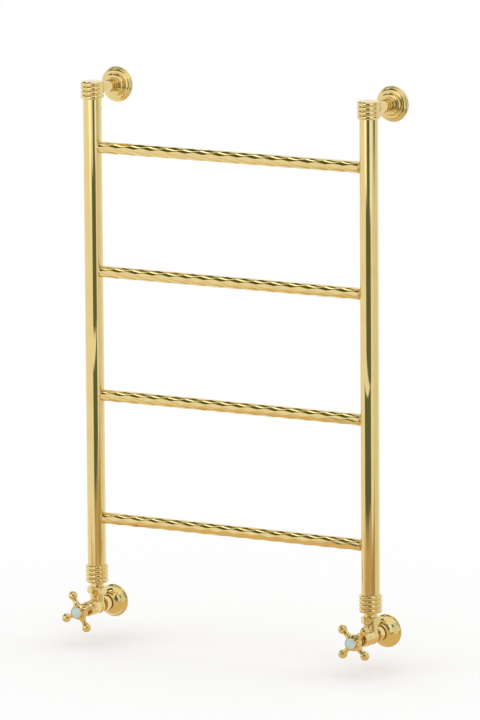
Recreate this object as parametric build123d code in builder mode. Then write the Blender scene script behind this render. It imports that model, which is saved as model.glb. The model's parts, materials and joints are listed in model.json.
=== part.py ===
"""Water-heated towel rail: two round uprights, twisted rungs, wall brackets and cross-head valves.

Millimetres. X runs to the right, Y towards the wall and Z up. The origin is the middle of the wall
screws' pattern, on the wall plane. Turned pieces are drawn as half profiles and revolved.
"""

import math
import os

from build123d import *

# Clearances and small edges
close_fit = 0.05
running_fit = 0.06
pipe_fit = 0.08
thread_fit = 0.2
face_gap = 0.3
edge_break = 1.0

# Frame of the rail
upright_spacing = 548.0
axis_to_wall = 86.0
rung_count = 4
rung_pitch = 217.0
end_reach = 99.5

# Uprights and rungs
upright_radius = 16.0
upright_wall = 1.5
rung_sides = 6
rung_corner_radius = 11.0
rung_turn_length = 207.0
rung_spigot_step = 0.2
rung_spigot_reach = 1.0
rung_wall = 2.5

# Beaded collars at both ends of each upright
collar_wall = 2.1
bead_rise = 1.9
bead_height = 7.6
bead_count = 4
collar_floor = 12.4
collar_waterway_radius = 8.0
cap_web = 3.0

# Bracket stems, wall plates and grub screws
stem_radius = 11.0
stem_wall = 3.0
stem_thread_radius = 5.0
stem_thread_length = 10.0
stem_ring_rise = 1.4
stem_ring_length = 4.5
plate_thickness = 4.0
plate_margin = 2.8
plate_spigot_length = 14.0
spigot_end_room = 0.5
wall_screw_spacing = 34.0
wall_screw_radius = 2.75
wall_screw_head_radius = 4.2
grub_screw_radius = 2.5
grub_socket_radius = 1.25
grub_socket_depth = 1.5
key_sides = 6

# Cover roses, each a stack of steps from the wall outwards
rose_wall = 2.0
rose_plate_room = 1.5
rose_rim_flare = 3.5
rose_rim_length = 6.5
rose_middle_length = 4.5
rose_inner_step = 7.0
rose_inner_length = 5.0
rose_neck_length = 5.0

# Air vents at the back of the uprights
vent_drop = 34.0
vent_reach = 6.0
vent_wall = 2.4
vent_spigot_wall = 2.3
vent_spigot_length = 4.0
vent_screw_radius = 2.5
vent_key_size = 5.0
vent_key_length = 3.5
vent_key_room = 1.0
vent_tip_length = 1.6

# Tail, union nut and washer between collar and valve
tail_neck_length = 7.5
tail_neck_radius = 11.5
tail_thread_step = 1.05
tail_thread_length = 9.5
tail_wall = 2.95
tail_flange_rise = 1.5
tail_flange_thickness = 2.3
nut_sides = 6
nut_wall = 1.8
nut_height = 12.8
nut_top_wall = 1.5
nut_chamfer = 1.4
washer_thickness = 1.5

# Valve body
nut_above_axis = 22.5
body_radius = 14.5
body_front_wall = 3.5
body_front_reach = 16.0
outlet_neck_step = 0.8
outlet_bore_radius = 8.0
chamber_back = 4.0
chamber_room = 1.3
seat_height = 1.0
seat_width = 1.7
inlet_wall = 2.9
inlet_reach = 24.0
pipe_socket_depth = 11.5

# Valve plug, its washer and its movement
plug_sides = 6
plug_across_flats = 11.0
plug_length = 9.5
plug_head_room = 0.7
plug_head_thickness = 4.0
plug_washer_margin = 0.2
plug_washer_thickness = 2.5
plug_nub_radius = 1.9
spindle_turns = 2.4
spindle_lead = 2.0

# Headwork, spindle, gland and shroud
headwork_flange_rise = 2.8
headwork_flange_thickness = 4.0
headwork_barrel_wall = 2.1
headwork_setback = 3.8
spindle_radius = 4.0
spindle_thread_radius = 3.0
spindle_thread_reach = 4.4
spindle_collar_rise = 2.44
spindle_collar_thickness = 2.4
spindle_square = 5.6
packing_thickness = 4.0
gland_across_flats = 14.0
gland_head_thickness = 4.3
shroud_wall = 1.5
shroud_taper = 1.2
shroud_length = 19.8
shroud_lip = 1.5
shroud_mouth_room = 0.8

# Cross-head handle, measured from its back face
handle_gap = 1.4
handle_length = 33.8
hub_back_radius = 8.6
hub_waist_length = 16.5
hub_crown_radius = 14.8
hub_crown_edge = 1.4
hub_shoulder_length = 27.3
hub_rim_wall = 1.2
square_depth = 8.8
handle_web = 2.2
spoke_offset = 21.8
spoke_count = 4
spoke_root = 11.0
spoke_root_radius = 8.2
spoke_neck_radius = 4.5
spoke_neck_start = 20.5
ball_radius = 8.0
ball_reach = 30.4
ball_fillet = 1.5
first_spoke = {"left": 26.5, "right": 45.5}

# Index button and handle screw
button_radius = 9.4
button_recess_depth = 4.0
button_rise = 2.0
screw_radius = 2.0
screw_length = 9.0
screw_head_radius = 3.9
screw_head_height = 3.0
screw_slot_width = 1.0
screw_slot_depth = 1.5
screw_well_radius = 5.0
screw_well_depth = 5.0

# Inlet: compression nut, olive, supply pipe and bell escutcheon
pipe_radius = 7.5
pipe_wall = 1.0
compression_nut_wall = 2.75
compression_nut_end_wall = 4.0
compression_nut_end_rise = 2.5
compression_dome_length = 7.0
olive_length = 5.0
olive_rise = 1.5
bell_overlap = 1.5
bell_lip_length = 3.0
bell_lip_inset = 0.5
bell_lip_wall = 2.1
bell_web_thickness = 2.0
bell_wall = 1.6
bell_flare = 10.2
bell_shoulder_length = 17.5
bell_shoulder_slope = 0.15
bell_rim_flare = 3.6
bell_rim_thickness = 3.4
bell_length = 25.8

# Worked-out radii
rung_flat_radius = rung_corner_radius * math.cos(math.pi / rung_sides)
rung_spigot_radius = rung_flat_radius - rung_spigot_step
rung_bore_radius = rung_spigot_radius - rung_wall
upright_bore_radius = upright_radius - upright_wall
collar_groove_radius = upright_radius + collar_wall
collar_radius = collar_groove_radius + bead_rise
plate_spigot_radius = stem_radius - stem_wall
stem_ring_radius = stem_radius + stem_ring_rise
plate_radius = wall_screw_spacing / 2 + wall_screw_head_radius + plate_margin
rose_middle_radius = plate_radius + rose_plate_room + rose_wall
rose_radius = rose_middle_radius + rose_rim_flare
rose_neck_radius = stem_radius + running_fit + rose_wall
rose_inner_radius = rose_neck_radius + rose_inner_step
vent_spigot_radius = vent_screw_radius + vent_spigot_wall
vent_recess_radius = vent_key_size / math.sqrt(2) + vent_key_room
vent_radius = vent_recess_radius + vent_wall
tail_thread_radius = tail_neck_radius - tail_thread_step
tail_bore_radius = tail_thread_radius - tail_wall
tail_flange_radius = tail_neck_radius + tail_flange_rise
nut_thread_radius = tail_flange_radius + thread_fit
nut_flat_radius = nut_thread_radius + nut_wall
outlet_neck_radius = nut_thread_radius - outlet_neck_step
inlet_radius = pipe_radius - pipe_wall
inlet_thread_radius = pipe_radius + inlet_wall
seat_outer_radius = inlet_radius + seat_width
chamber_radius = seat_outer_radius + chamber_room
body_front_radius = chamber_radius + body_front_wall
spindle_collar_radius = spindle_radius + spindle_collar_rise
gland_bore_radius = spindle_collar_radius + running_fit
headwork_barrel_radius = gland_bore_radius + headwork_barrel_wall
headwork_flange_radius = chamber_radius + headwork_flange_rise
shroud_rear_radius = headwork_flange_radius + close_fit + shroud_wall
shroud_front_radius = shroud_rear_radius - shroud_taper
hub_rim_radius = button_radius + hub_rim_wall
hub_edge_radius = hub_crown_radius - hub_crown_edge
compression_nut_radius = inlet_thread_radius + close_fit + compression_nut_wall
bell_lip_bore_radius = compression_nut_radius - bell_lip_inset
bell_lip_radius = bell_lip_bore_radius + bell_lip_wall
bell_shoulder_radius = bell_lip_radius + bell_flare
bell_rim_radius = bell_shoulder_radius + bell_rim_flare

# Worked-out heights
sides = {"left": -1, "right": 1}
upright_y = -axis_to_wall
collar_height = bead_height * bead_count
cap_socket_depth = collar_height / 2 - stem_thread_radius - cap_web
rung_heights = [-end_reach - i * rung_pitch for i in range(rung_count)]
bottom_collar_z = rung_heights[-1] - end_reach
nut_top_above_axis = nut_above_axis + nut_height
flange_top = nut_top_above_axis - nut_top_wall
flange_bottom = flange_top - tail_flange_thickness
outlet_top = flange_bottom - washer_thickness
valve_z = bottom_collar_z - collar_height / 2 - tail_neck_length - nut_top_above_axis
stem_socket_depth = plate_spigot_length + spigot_end_room

# Worked-out distances in front of the valve's axis
plug_lift = spindle_turns * spindle_lead
washer_back = seat_height - chamber_back
plug_head_back = washer_back + plug_washer_thickness
plug_head_front = plug_head_back + plug_head_thickness
plug_front = plug_head_front + plug_length
headwork_back = plug_head_front + plug_lift + face_gap
guide_front = plug_front + plug_lift + face_gap
spindle_thread_back = plug_front - spindle_thread_reach
spindle_collar_back = guide_front + face_gap
spindle_collar_front = spindle_collar_back + spindle_collar_thickness
packing_back = spindle_collar_front + face_gap
packing_front = packing_back + packing_thickness
flange_front = body_front_reach + headwork_flange_thickness
shroud_front = body_front_reach + shroud_length
headwork_front = shroud_front - headwork_setback
gland_front = headwork_front + gland_head_thickness
handle_back = shroud_front + handle_gap
handle_front = handle_back + handle_length
hub_waist_end = handle_back + hub_waist_length
hub_shoulder = handle_back + hub_shoulder_length
spoke_plane = handle_back + spoke_offset
square_start = handle_back + square_depth
button_floor = handle_front - button_recess_depth
web_front = button_floor - screw_well_depth
spindle_front = web_front - handle_web

# Worked-out distances behind the valve's axis
compression_nut_start = body_radius + 2 * close_fit
olive_end = inlet_reach + olive_length
compression_nut_end = olive_end + compression_nut_end_wall
bell_front = compression_nut_end - bell_overlap
bell_web_front = bell_front + bell_lip_length
bell_web_back = bell_web_front + bell_web_thickness
bell_shoulder = bell_front + bell_shoulder_length
bell_end = bell_front + bell_length


def side_x(side: str) -> float:
    """Where the upright of that side stands along X."""
    return sides[side] * upright_spacing / 2


def lathe_up(x: float, z: float) -> Plane:
    """A half-profile plane for pieces turned about an upright's axis: height above z, then radius."""
    return Plane(origin=(x, upright_y, z), x_dir=(0, 0, 1), z_dir=(0, 1, 0))


def lathe_out(x: float, z: float, y: float = upright_y) -> Plane:
    """A half-profile plane for pieces turned about Y: distance towards the room, then radius."""
    return Plane(origin=(x, y, z), x_dir=(0, -1, 0), z_dir=(-1, 0, 0))


def facing_room(x: float, z: float, y: float = upright_y) -> Plane:
    """A plane square to Y through the point, whose normal points to the room."""
    return Plane(origin=(x, y, z), x_dir=(1, 0, 0), z_dir=(0, -1, 0))


def turned(plane: Plane, corners: list, mode: Mode = Mode.ADD) -> None:
    """Revolves a closed half profile about the plane's own first axis."""
    with BuildSketch(plane) as half:
        with BuildLine():
            Polyline(*corners, close=True)
        make_face()
    revolve(half.sketch, axis=Axis(plane.origin, plane.x_dir), mode=mode)


def cylinder_between(plane: Plane, radius: float, start: float, end: float, mode: Mode = Mode.ADD) -> None:
    """A round bar or bore along the plane's normal, from start to end."""
    with BuildSketch(plane.offset(start)) as disc:
        Circle(radius)
    extrude(disc.sketch, amount=end - start, mode=mode)


def prism_between(
    plane: Plane, flat_radius: float, side_count: int, start: float, end: float, mode: Mode = Mode.ADD
) -> None:
    """A regular prism along the plane's normal, sized by the distance from its axis to a flat."""
    with BuildSketch(plane.offset(start)) as outline:
        RegularPolygon(radius=flat_radius, side_count=side_count, major_radius=False)
    extrude(outline.sketch, amount=end - start, mode=mode)


def write_piece(piece: BuildPart, name: str) -> None:
    """Labels a finished piece and writes its file."""
    piece.part.label = name
    export_step(piece.part, f"parts/{name}.step")


def beaded_collar(x: float, z: float) -> None:
    """The outside that all four collars share: a short stack of rounded beads."""
    plane = lathe_up(x, z - collar_height / 2)
    with BuildSketch(plane) as half:
        with BuildLine():
            for i in range(bead_count):
                low = i * bead_height
                ThreePointArc(
                    (low, collar_groove_radius),
                    (low + bead_height / 2, collar_radius),
                    (low + bead_height, collar_groove_radius),
                )
            Polyline(
                (collar_height, collar_groove_radius),
                (collar_height, 0),
                (0, 0),
                (0, collar_groove_radius),
            )
        make_face()
    revolve(half.sketch, axis=Axis(plane.origin, plane.x_dir))


def top_collar(side: str) -> None:
    """Solid-topped cap, bored for the upright from below and tapped for the stem from behind."""
    x = side_x(side)
    with BuildPart() as collar:
        beaded_collar(x, 0)
        base = Plane(origin=(x, upright_y, -collar_height / 2))
        cylinder_between(base, upright_radius + close_fit, 0, cap_socket_depth, Mode.SUBTRACT)
        thread_end = collar_radius - stem_thread_length - face_gap
        tapped = stem_thread_radius + close_fit
        cylinder_between(facing_room(x, 0), tapped, -collar_radius, -thread_end, Mode.SUBTRACT)
    write_piece(collar, f"{side}_top_collar")


def bottom_collar(side: str) -> None:
    """Collar that joins the upright to the valve tail, open from end to end for the water."""
    x = side_x(side)
    with BuildPart() as collar:
        beaded_collar(x, bottom_collar_z)
        base = Plane(origin=(x, upright_y, bottom_collar_z - collar_height / 2))
        cylinder_between(base, upright_radius + close_fit, collar_floor, collar_height, Mode.SUBTRACT)
        cylinder_between(base, collar_waterway_radius, 0, collar_floor, Mode.SUBTRACT)
        cylinder_between(base, tail_thread_radius + close_fit, 0, tail_thread_length, Mode.SUBTRACT)
    write_piece(collar, f"{side}_bottom_collar")


def upright(side: str) -> None:
    """Upright tube, drilled for the rungs on its inner side and for the air vent at the back."""
    x = side_x(side)
    low = bottom_collar_z - collar_height / 2 + collar_floor
    high = cap_socket_depth - collar_height / 2
    with BuildPart() as tube:
        base = Plane(origin=(x, upright_y, 0))
        cylinder_between(base, upright_radius, low, high)
        cylinder_between(base, upright_bore_radius, low, high, Mode.SUBTRACT)
        for z in rung_heights:
            inward = Plane(origin=(x, upright_y, z), x_dir=(0, 1, 0), z_dir=(-sides[side], 0, 0))
            cylinder_between(inward, rung_spigot_radius + close_fit, 0, upright_radius, Mode.SUBTRACT)
        drilled = vent_spigot_radius + close_fit
        cylinder_between(facing_room(x, -vent_drop), drilled, -upright_radius, 0, Mode.SUBTRACT)
    write_piece(tube, f"{side}_upright")


def rung(number: int, z: float) -> None:
    """Hollow bar twisted along its length, with round spigots that fill their holes in the uprights."""
    half = upright_spacing / 2 - upright_radius - close_fit
    start = (-half, upright_y, z)
    with BuildSketch(Plane(origin=start, x_dir=(0, 1, 0), z_dir=(1, 0, 0))) as section:
        RegularPolygon(radius=rung_corner_radius, side_count=rung_sides)
    twist = -360 * 2 * half / rung_turn_length
    twisted = Solid.extrude_linear_with_rotation(section.sketch.faces()[0], start, (2 * half, 0, 0), twist)
    bore_depth = math.sqrt(upright_bore_radius**2 - rung_spigot_radius**2)
    spigot_end = upright_spacing / 2 - bore_depth + rung_spigot_reach
    middle = Plane(origin=(0, upright_y, z), x_dir=(0, 1, 0), z_dir=(1, 0, 0))
    with BuildPart() as bar:
        add(twisted)
        cylinder_between(middle, rung_spigot_radius, -spigot_end, spigot_end)
        cylinder_between(middle, rung_bore_radius, -spigot_end, spigot_end, Mode.SUBTRACT)
    write_piece(bar, f"rung_{number}")


def bracket_stem(side: str) -> None:
    """Round stem from the top collar to the wall plate, with a ring coped to the collar's beads."""
    x = side_x(side)
    plane = facing_room(x, 0)
    rear = axis_to_wall - plate_thickness
    inside_collar = collar_groove_radius / 2
    ring_end = collar_radius + stem_ring_length
    with BuildPart() as stem:
        cylinder_between(plane, stem_radius, -rear, -inside_collar)
        turned(
            lathe_out(x, 0),
            [
                (-inside_collar, 0),
                (-inside_collar, stem_ring_radius),
                (edge_break - ring_end, stem_ring_radius),
                (-ring_end, stem_ring_radius - edge_break),
                (-ring_end, 0),
            ],
        )
        beside = Plane(origin=(x, upright_y, 0))
        cylinder_between(beside, collar_radius + close_fit, -collar_height, collar_height, Mode.SUBTRACT)
        cylinder_between(plane, stem_thread_radius, -ring_end, stem_thread_length - collar_radius)
        socket = plate_spigot_radius + close_fit
        cylinder_between(plane, socket, -rear, stem_socket_depth - rear, Mode.SUBTRACT)
        cylinder_between(grub_screw_plane(x), grub_screw_radius + close_fit, 0, stem_radius, Mode.SUBTRACT)
    write_piece(stem, f"{side}_bracket_stem")


def grub_screw_plane(x: float) -> Plane:
    """Where a stem's grub screw points down, from the stem's axis halfway along its socket."""
    return Plane(origin=(x, -plate_thickness - stem_socket_depth / 2, 0), z_dir=(0, 0, -1))


def stem_grub_screws() -> None:
    """The two grub screws that lock the stems on the wall plates' spigots."""
    end = stem_radius - face_gap
    with BuildPart() as screws:
        for side in sides:
            below = grub_screw_plane(side_x(side))
            cylinder_between(below, grub_screw_radius, plate_spigot_radius, end)
            socket_floor = end - grub_socket_depth
            prism_between(below, grub_socket_radius, key_sides, socket_floor, end, Mode.SUBTRACT)
    write_piece(screws, "stem_grub_screws")


def wall_plate(side: str) -> None:
    """Round plate with a central spigot and two countersunk holes, hidden by the rose."""
    x = side_x(side)
    countersink = wall_screw_head_radius - wall_screw_radius
    with BuildPart() as plate:
        wall = facing_room(x, 0, y=0)
        cylinder_between(wall, plate_radius, 0, plate_thickness)
        cylinder_between(wall, plate_spigot_radius, 0, plate_thickness + plate_spigot_length)
        for z in (-wall_screw_spacing / 2, wall_screw_spacing / 2):
            turned(
                lathe_out(x, z, y=0),
                [
                    (0, 0),
                    (0, wall_screw_radius),
                    (plate_thickness - countersink, wall_screw_radius),
                    (plate_thickness, wall_screw_head_radius),
                    (plate_thickness, 0),
                ],
                Mode.SUBTRACT,
            )
    write_piece(plate, f"{side}_wall_plate")


def wall_rose(side: str) -> None:
    """Stepped cover rose that slides on the stem and hides the plate and its screws."""
    x = side_x(side)
    plane = lathe_out(x, 0, y=0)
    rim_radius = rose_radius - rose_wall
    middle_front = rose_rim_length + rose_middle_length
    middle_edge = (rose_middle_radius + rose_inner_radius) / 2
    inner_front = middle_front + rose_inner_length
    inner_edge = (rose_inner_radius + rose_neck_radius) / 2
    front = inner_front + rose_neck_length
    with BuildPart() as rose:
        with BuildSketch(plane):
            with BuildLine():
                Line((0, 0), (0, rim_radius))
                ThreePointArc(
                    (0, rim_radius),
                    (rose_rim_length / 2, rose_radius),
                    (rose_rim_length, rose_middle_radius),
                )
                Line((rose_rim_length, rose_middle_radius), (middle_front - rose_wall, rose_middle_radius))
                ThreePointArc(
                    (middle_front - rose_wall, rose_middle_radius),
                    (middle_front, middle_edge),
                    (middle_front, rose_inner_radius),
                )
                Line((middle_front, rose_inner_radius), (inner_front - rose_wall, rose_inner_radius))
                ThreePointArc(
                    (inner_front - rose_wall, rose_inner_radius),
                    (inner_front, inner_edge),
                    (inner_front, rose_neck_radius),
                )
                Polyline(
                    (inner_front, rose_neck_radius),
                    (front - edge_break, rose_neck_radius),
                    (front, rose_neck_radius - edge_break),
                    (front, 0),
                    (0, 0),
                )
            make_face()
        revolve(axis=Axis(plane.origin, plane.x_dir))
        wide_floor = middle_front - rose_wall - face_gap
        narrow_floor = inner_front - rose_wall
        turned(
            plane,
            [
                (0, 0),
                (0, rose_middle_radius - rose_wall),
                (wide_floor, rose_middle_radius - rose_wall),
                (wide_floor, rose_inner_radius - rose_wall),
                (narrow_floor, rose_inner_radius - rose_wall),
                (narrow_floor, 0),
            ],
            Mode.SUBTRACT,
        )
        cylinder_between(facing_room(x, 0, y=0), stem_radius + running_fit, 0, front, Mode.SUBTRACT)
    write_piece(rose, f"{side}_wall_rose")


def air_vent(side: str) -> None:
    """Vent body brazed into the back of the upright, drilled through for the bleed screw."""
    x = side_x(side)
    plane = facing_room(x, -vent_drop)
    rear = upright_radius + vent_reach
    spigot_front = upright_radius - vent_spigot_length
    recess_floor = vent_key_length + face_gap - rear
    with BuildPart() as vent:
        cylinder_between(plane, vent_radius, -rear, 0)
        chamfer(vent.edges().group_by(Axis.Y)[-1], edge_break)
        beside = Plane(origin=(x, upright_y, -vent_drop))
        cylinder_between(beside, upright_radius + close_fit, -2 * vent_radius, 2 * vent_radius, Mode.SUBTRACT)
        cylinder_between(plane, vent_spigot_radius, -upright_radius - close_fit, -spigot_front)
        cylinder_between(plane, vent_recess_radius, -rear, recess_floor, Mode.SUBTRACT)
        screw_tip = spigot_front + vent_tip_length
        cylinder_between(plane, vent_screw_radius + running_fit, -rear, -screw_tip, Mode.SUBTRACT)
        cylinder_between(plane, vent_screw_radius / 2, -rear, -spigot_front, Mode.SUBTRACT)
    write_piece(vent, f"{side}_air_vent")


def vent_screw(side: str) -> None:
    """Bleed screw with a square head for a radiator key."""
    plane = facing_room(side_x(side), -vent_drop)
    rear = upright_radius + vent_reach
    tip = upright_radius - vent_spigot_length + vent_tip_length
    with BuildPart() as screw:
        with BuildSketch(plane.offset(-rear)):
            Rectangle(vent_key_size, vent_key_size)
        extrude(amount=vent_key_length)
        cylinder_between(plane, vent_screw_radius, vent_key_length - rear, -tip)
    write_piece(screw, f"{side}_vent_screw")


def valve_tail(side: str) -> None:
    """Hollow tail screwed into the bottom collar, with the flange that the union nut pulls down."""
    neck_top = nut_top_above_axis + tail_neck_length
    with BuildPart() as tail:
        base = Plane(origin=(side_x(side), upright_y, valve_z))
        cylinder_between(base, tail_flange_radius, flange_bottom, flange_top)
        cylinder_between(base, tail_neck_radius, flange_top, neck_top)
        cylinder_between(base, tail_thread_radius, neck_top, neck_top + tail_thread_length)
        cylinder_between(base, tail_bore_radius, flange_bottom, neck_top + tail_thread_length, Mode.SUBTRACT)
    write_piece(tail, f"{side}_valve_tail")


def union_nut(side: str) -> None:
    """Chamfered hexagon nut that joins the tail to the valve's outlet."""
    x = side_x(side)
    corner = nut_flat_radius / math.cos(math.pi / nut_sides)
    with BuildPart() as nut:
        base = Plane(origin=(x, upright_y, valve_z))
        prism_between(base, nut_flat_radius, nut_sides, nut_above_axis, nut_top_above_axis)
        turned(
            lathe_up(x, valve_z),
            [
                (nut_above_axis, 0),
                (nut_above_axis, nut_flat_radius),
                (nut_above_axis + nut_chamfer, corner),
                (nut_top_above_axis - nut_chamfer, corner),
                (nut_top_above_axis, nut_flat_radius),
                (nut_top_above_axis, 0),
            ],
            Mode.INTERSECT,
        )
        cylinder_between(base, nut_thread_radius, nut_above_axis, flange_top, Mode.SUBTRACT)
        neck_hole = tail_neck_radius + 2 * close_fit
        cylinder_between(base, neck_hole, flange_top, nut_top_above_axis, Mode.SUBTRACT)
    write_piece(nut, f"{side}_union_nut")


def union_washer(side: str) -> None:
    """Flat ring squeezed between the tail's flange and the outlet."""
    with BuildPart() as washer:
        base = Plane(origin=(side_x(side), upright_y, valve_z))
        cylinder_between(base, tail_flange_radius, outlet_top, flange_bottom)
        cylinder_between(base, outlet_bore_radius, outlet_top, flange_bottom, Mode.SUBTRACT)
    write_piece(washer, f"{side}_union_washer")


def rounded_middle(x: float) -> None:
    """The rounded middle of the valve body."""
    plane = lathe_out(x, valve_z)
    with BuildSketch(plane) as half:
        with BuildLine():
            ThreePointArc((-body_radius, 0), (0, body_radius), (body_radius, 0))
            Line((body_radius, 0), (-body_radius, 0))
        make_face()
    revolve(half.sketch, axis=Axis(plane.origin, plane.x_dir))


def valve_body(side: str) -> None:
    """Angle body: inlet from the wall, outlet upwards, seat in line with the spindle."""
    x = side_x(side)
    base = Plane(origin=(x, upright_y, valve_z))
    front = facing_room(x, valve_z)
    open_front = body_front_reach + body_radius
    with BuildPart() as body:
        rounded_middle(x)
        cylinder_between(front, body_front_radius, 0, body_front_reach)
        cylinder_between(front, inlet_thread_radius, -inlet_reach, 0)
        cylinder_between(base, outlet_neck_radius, 0, nut_above_axis)
        cylinder_between(base, nut_thread_radius - close_fit, nut_above_axis, outlet_top)
        cylinder_between(base, outlet_bore_radius, 0, outlet_top, Mode.SUBTRACT)
        cylinder_between(front, chamber_radius, -chamber_back, open_front, Mode.SUBTRACT)
        cylinder_between(front, seat_outer_radius, -chamber_back, washer_back)
        cylinder_between(front, inlet_radius, -inlet_reach, washer_back, Mode.SUBTRACT)
        socket_floor = pipe_socket_depth - inlet_reach
        cylinder_between(front, pipe_radius + close_fit, -inlet_reach, socket_floor, Mode.SUBTRACT)
    write_piece(body, f"{side}_valve_body")


def headwork(side: str) -> None:
    """Headwork that screws into the body and guides the plug and the spindle."""
    front = facing_room(side_x(side), valve_z)
    with BuildPart() as bonnet:
        cylinder_between(front, chamber_radius - close_fit, headwork_back, body_front_reach)
        cylinder_between(front, headwork_flange_radius, body_front_reach, flange_front)
        cylinder_between(front, headwork_barrel_radius, flange_front, headwork_front)
        cylinder_between(front, gland_bore_radius, guide_front, headwork_front, Mode.SUBTRACT)
        guide = plug_across_flats / 2 + running_fit
        prism_between(front, guide, plug_sides, headwork_back, guide_front, Mode.SUBTRACT)
    write_piece(bonnet, f"{side}_headwork")


def headwork_shroud(side: str) -> None:
    """Polished sleeve that hides the headwork between the body and the handle."""
    x = side_x(side)
    front = facing_room(x, valve_z)
    lip_back = shroud_front - shroud_lip
    with BuildPart() as shroud:
        turned(
            lathe_out(x, valve_z),
            [
                (body_front_reach, 0),
                (body_front_reach, shroud_rear_radius),
                (shroud_front - edge_break, shroud_front_radius),
                (shroud_front, shroud_front_radius - edge_break),
                (shroud_front, 0),
            ],
        )
        flange_room = headwork_flange_radius + close_fit
        cylinder_between(front, flange_room, body_front_reach, flange_front, Mode.SUBTRACT)
        cylinder_between(front, shroud_front_radius - shroud_wall, flange_front, lip_back, Mode.SUBTRACT)
        mouth = hub_back_radius + shroud_mouth_room
        cylinder_between(front, mouth, lip_back, shroud_front, Mode.SUBTRACT)
    write_piece(shroud, f"{side}_headwork_shroud")


def spindle(side: str) -> None:
    """Non-rising spindle: thread for the plug, collar, plain stem and square for the handle."""
    front = facing_room(side_x(side), valve_z)
    with BuildPart() as shaft:
        cylinder_between(front, spindle_thread_radius, spindle_thread_back, spindle_collar_back)
        cylinder_between(front, spindle_collar_radius, spindle_collar_back, spindle_collar_front)
        cylinder_between(front, spindle_radius, spindle_collar_front, square_start)
        with BuildSketch(front.offset(square_start)):
            Rectangle(spindle_square, spindle_square, rotation=first_spoke[side])
        extrude(amount=spindle_front - square_start)
        tapped = screw_radius + close_fit
        cylinder_between(front, tapped, spindle_front - screw_length, spindle_front, Mode.SUBTRACT)
    write_piece(shaft, f"{side}_spindle")


def spindle_packing(side: str) -> None:
    """Square-section packing ring that seals the spindle."""
    with BuildPart() as ring:
        front = facing_room(side_x(side), valve_z)
        cylinder_between(front, gland_bore_radius - close_fit, packing_back, packing_front)
        cylinder_between(front, spindle_radius + running_fit, packing_back, packing_front, Mode.SUBTRACT)
    write_piece(ring, f"{side}_spindle_packing")


def gland_nut(side: str) -> None:
    """Gland nut screwed into the headwork's front to squeeze the packing."""
    front = facing_room(side_x(side), valve_z)
    with BuildPart() as gland:
        cylinder_between(front, gland_bore_radius - close_fit, packing_front, headwork_front)
        prism_between(front, gland_across_flats / 2, nut_sides, headwork_front, gland_front)
        cylinder_between(front, spindle_radius + running_fit, packing_front, gland_front, Mode.SUBTRACT)
    write_piece(gland, f"{side}_gland_nut")


def valve_plug(side: str) -> None:
    """Hexagonal plug that the spindle's thread draws off the seat."""
    front = facing_room(side_x(side), valve_z)
    thread_floor = spindle_thread_back - plug_lift - face_gap
    with BuildPart() as plug:
        cylinder_between(front, chamber_radius - plug_head_room, plug_head_back, plug_head_front)
        cylinder_between(front, plug_nub_radius, washer_back + face_gap, plug_head_back)
        prism_between(front, plug_across_flats / 2, plug_sides, plug_head_front, plug_front)
        tapped = spindle_thread_radius + running_fit
        cylinder_between(front, tapped, thread_floor, plug_front, Mode.SUBTRACT)
    write_piece(plug, f"{side}_valve_plug")


def plug_washer(side: str) -> None:
    """Rubber washer that closes the seat."""
    front = facing_room(side_x(side), valve_z)
    with BuildPart() as washer:
        cylinder_between(front, seat_outer_radius + plug_washer_margin, washer_back, plug_head_back)
        cylinder_between(front, plug_nub_radius + close_fit, washer_back, plug_head_back, Mode.SUBTRACT)
    write_piece(washer, f"{side}_plug_washer")


def handle_hub(plane: Plane) -> None:
    """Turned middle of the handle: narrow at the shroud, full at the spokes, with a front rim."""
    with BuildSketch(plane) as half:
        with BuildLine():
            Line((handle_back, 0), (handle_back, hub_back_radius))
            TangentArc((handle_back, hub_back_radius), (hub_waist_end, hub_edge_radius), tangent=(1, 0))
            ThreePointArc(
                (hub_waist_end, hub_edge_radius),
                ((hub_waist_end + hub_shoulder) / 2, hub_crown_radius),
                (hub_shoulder, hub_edge_radius),
            )
            Polyline(
                (hub_shoulder, hub_edge_radius),
                (hub_shoulder + edge_break, hub_rim_radius),
                (handle_front, hub_rim_radius),
                (handle_front, 0),
                (handle_back, 0),
            )
        make_face()
    revolve(half.sketch, axis=Axis(plane.origin, plane.x_dir))


def handle_spoke(x: float, angle: float) -> None:
    """One flared spoke with its ball, revolved about its own length."""
    direction = (math.cos(math.radians(angle)), 0, math.sin(math.radians(angle)))
    plane = Plane(origin=(x, upright_y - spoke_plane, valve_z), x_dir=direction, z_dir=(0, -1, 0))
    neck_end = ball_reach - math.sqrt(ball_radius**2 - spoke_neck_radius**2)
    with BuildSketch(plane) as half:
        with BuildLine():
            Polyline((0, 0), (0, spoke_root_radius), (spoke_root, spoke_root_radius))
            TangentArc(
                (spoke_neck_start, spoke_neck_radius),
                (spoke_root, spoke_root_radius),
                tangent=(-1, 0),
            )
            Line((spoke_neck_start, spoke_neck_radius), (neck_end, spoke_neck_radius))
            ThreePointArc(
                (neck_end, spoke_neck_radius),
                (ball_reach, ball_radius),
                (ball_reach + ball_radius, 0),
            )
            Line((ball_reach + ball_radius, 0), (0, 0))
        spoke = make_face()
        neck = spoke.vertices().sort_by_distance(plane.from_local_coords((neck_end, spoke_neck_radius)))[0]
        fillet(neck, ball_fillet)
    revolve(half.sketch, axis=Axis(plane.origin, plane.x_dir))


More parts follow.
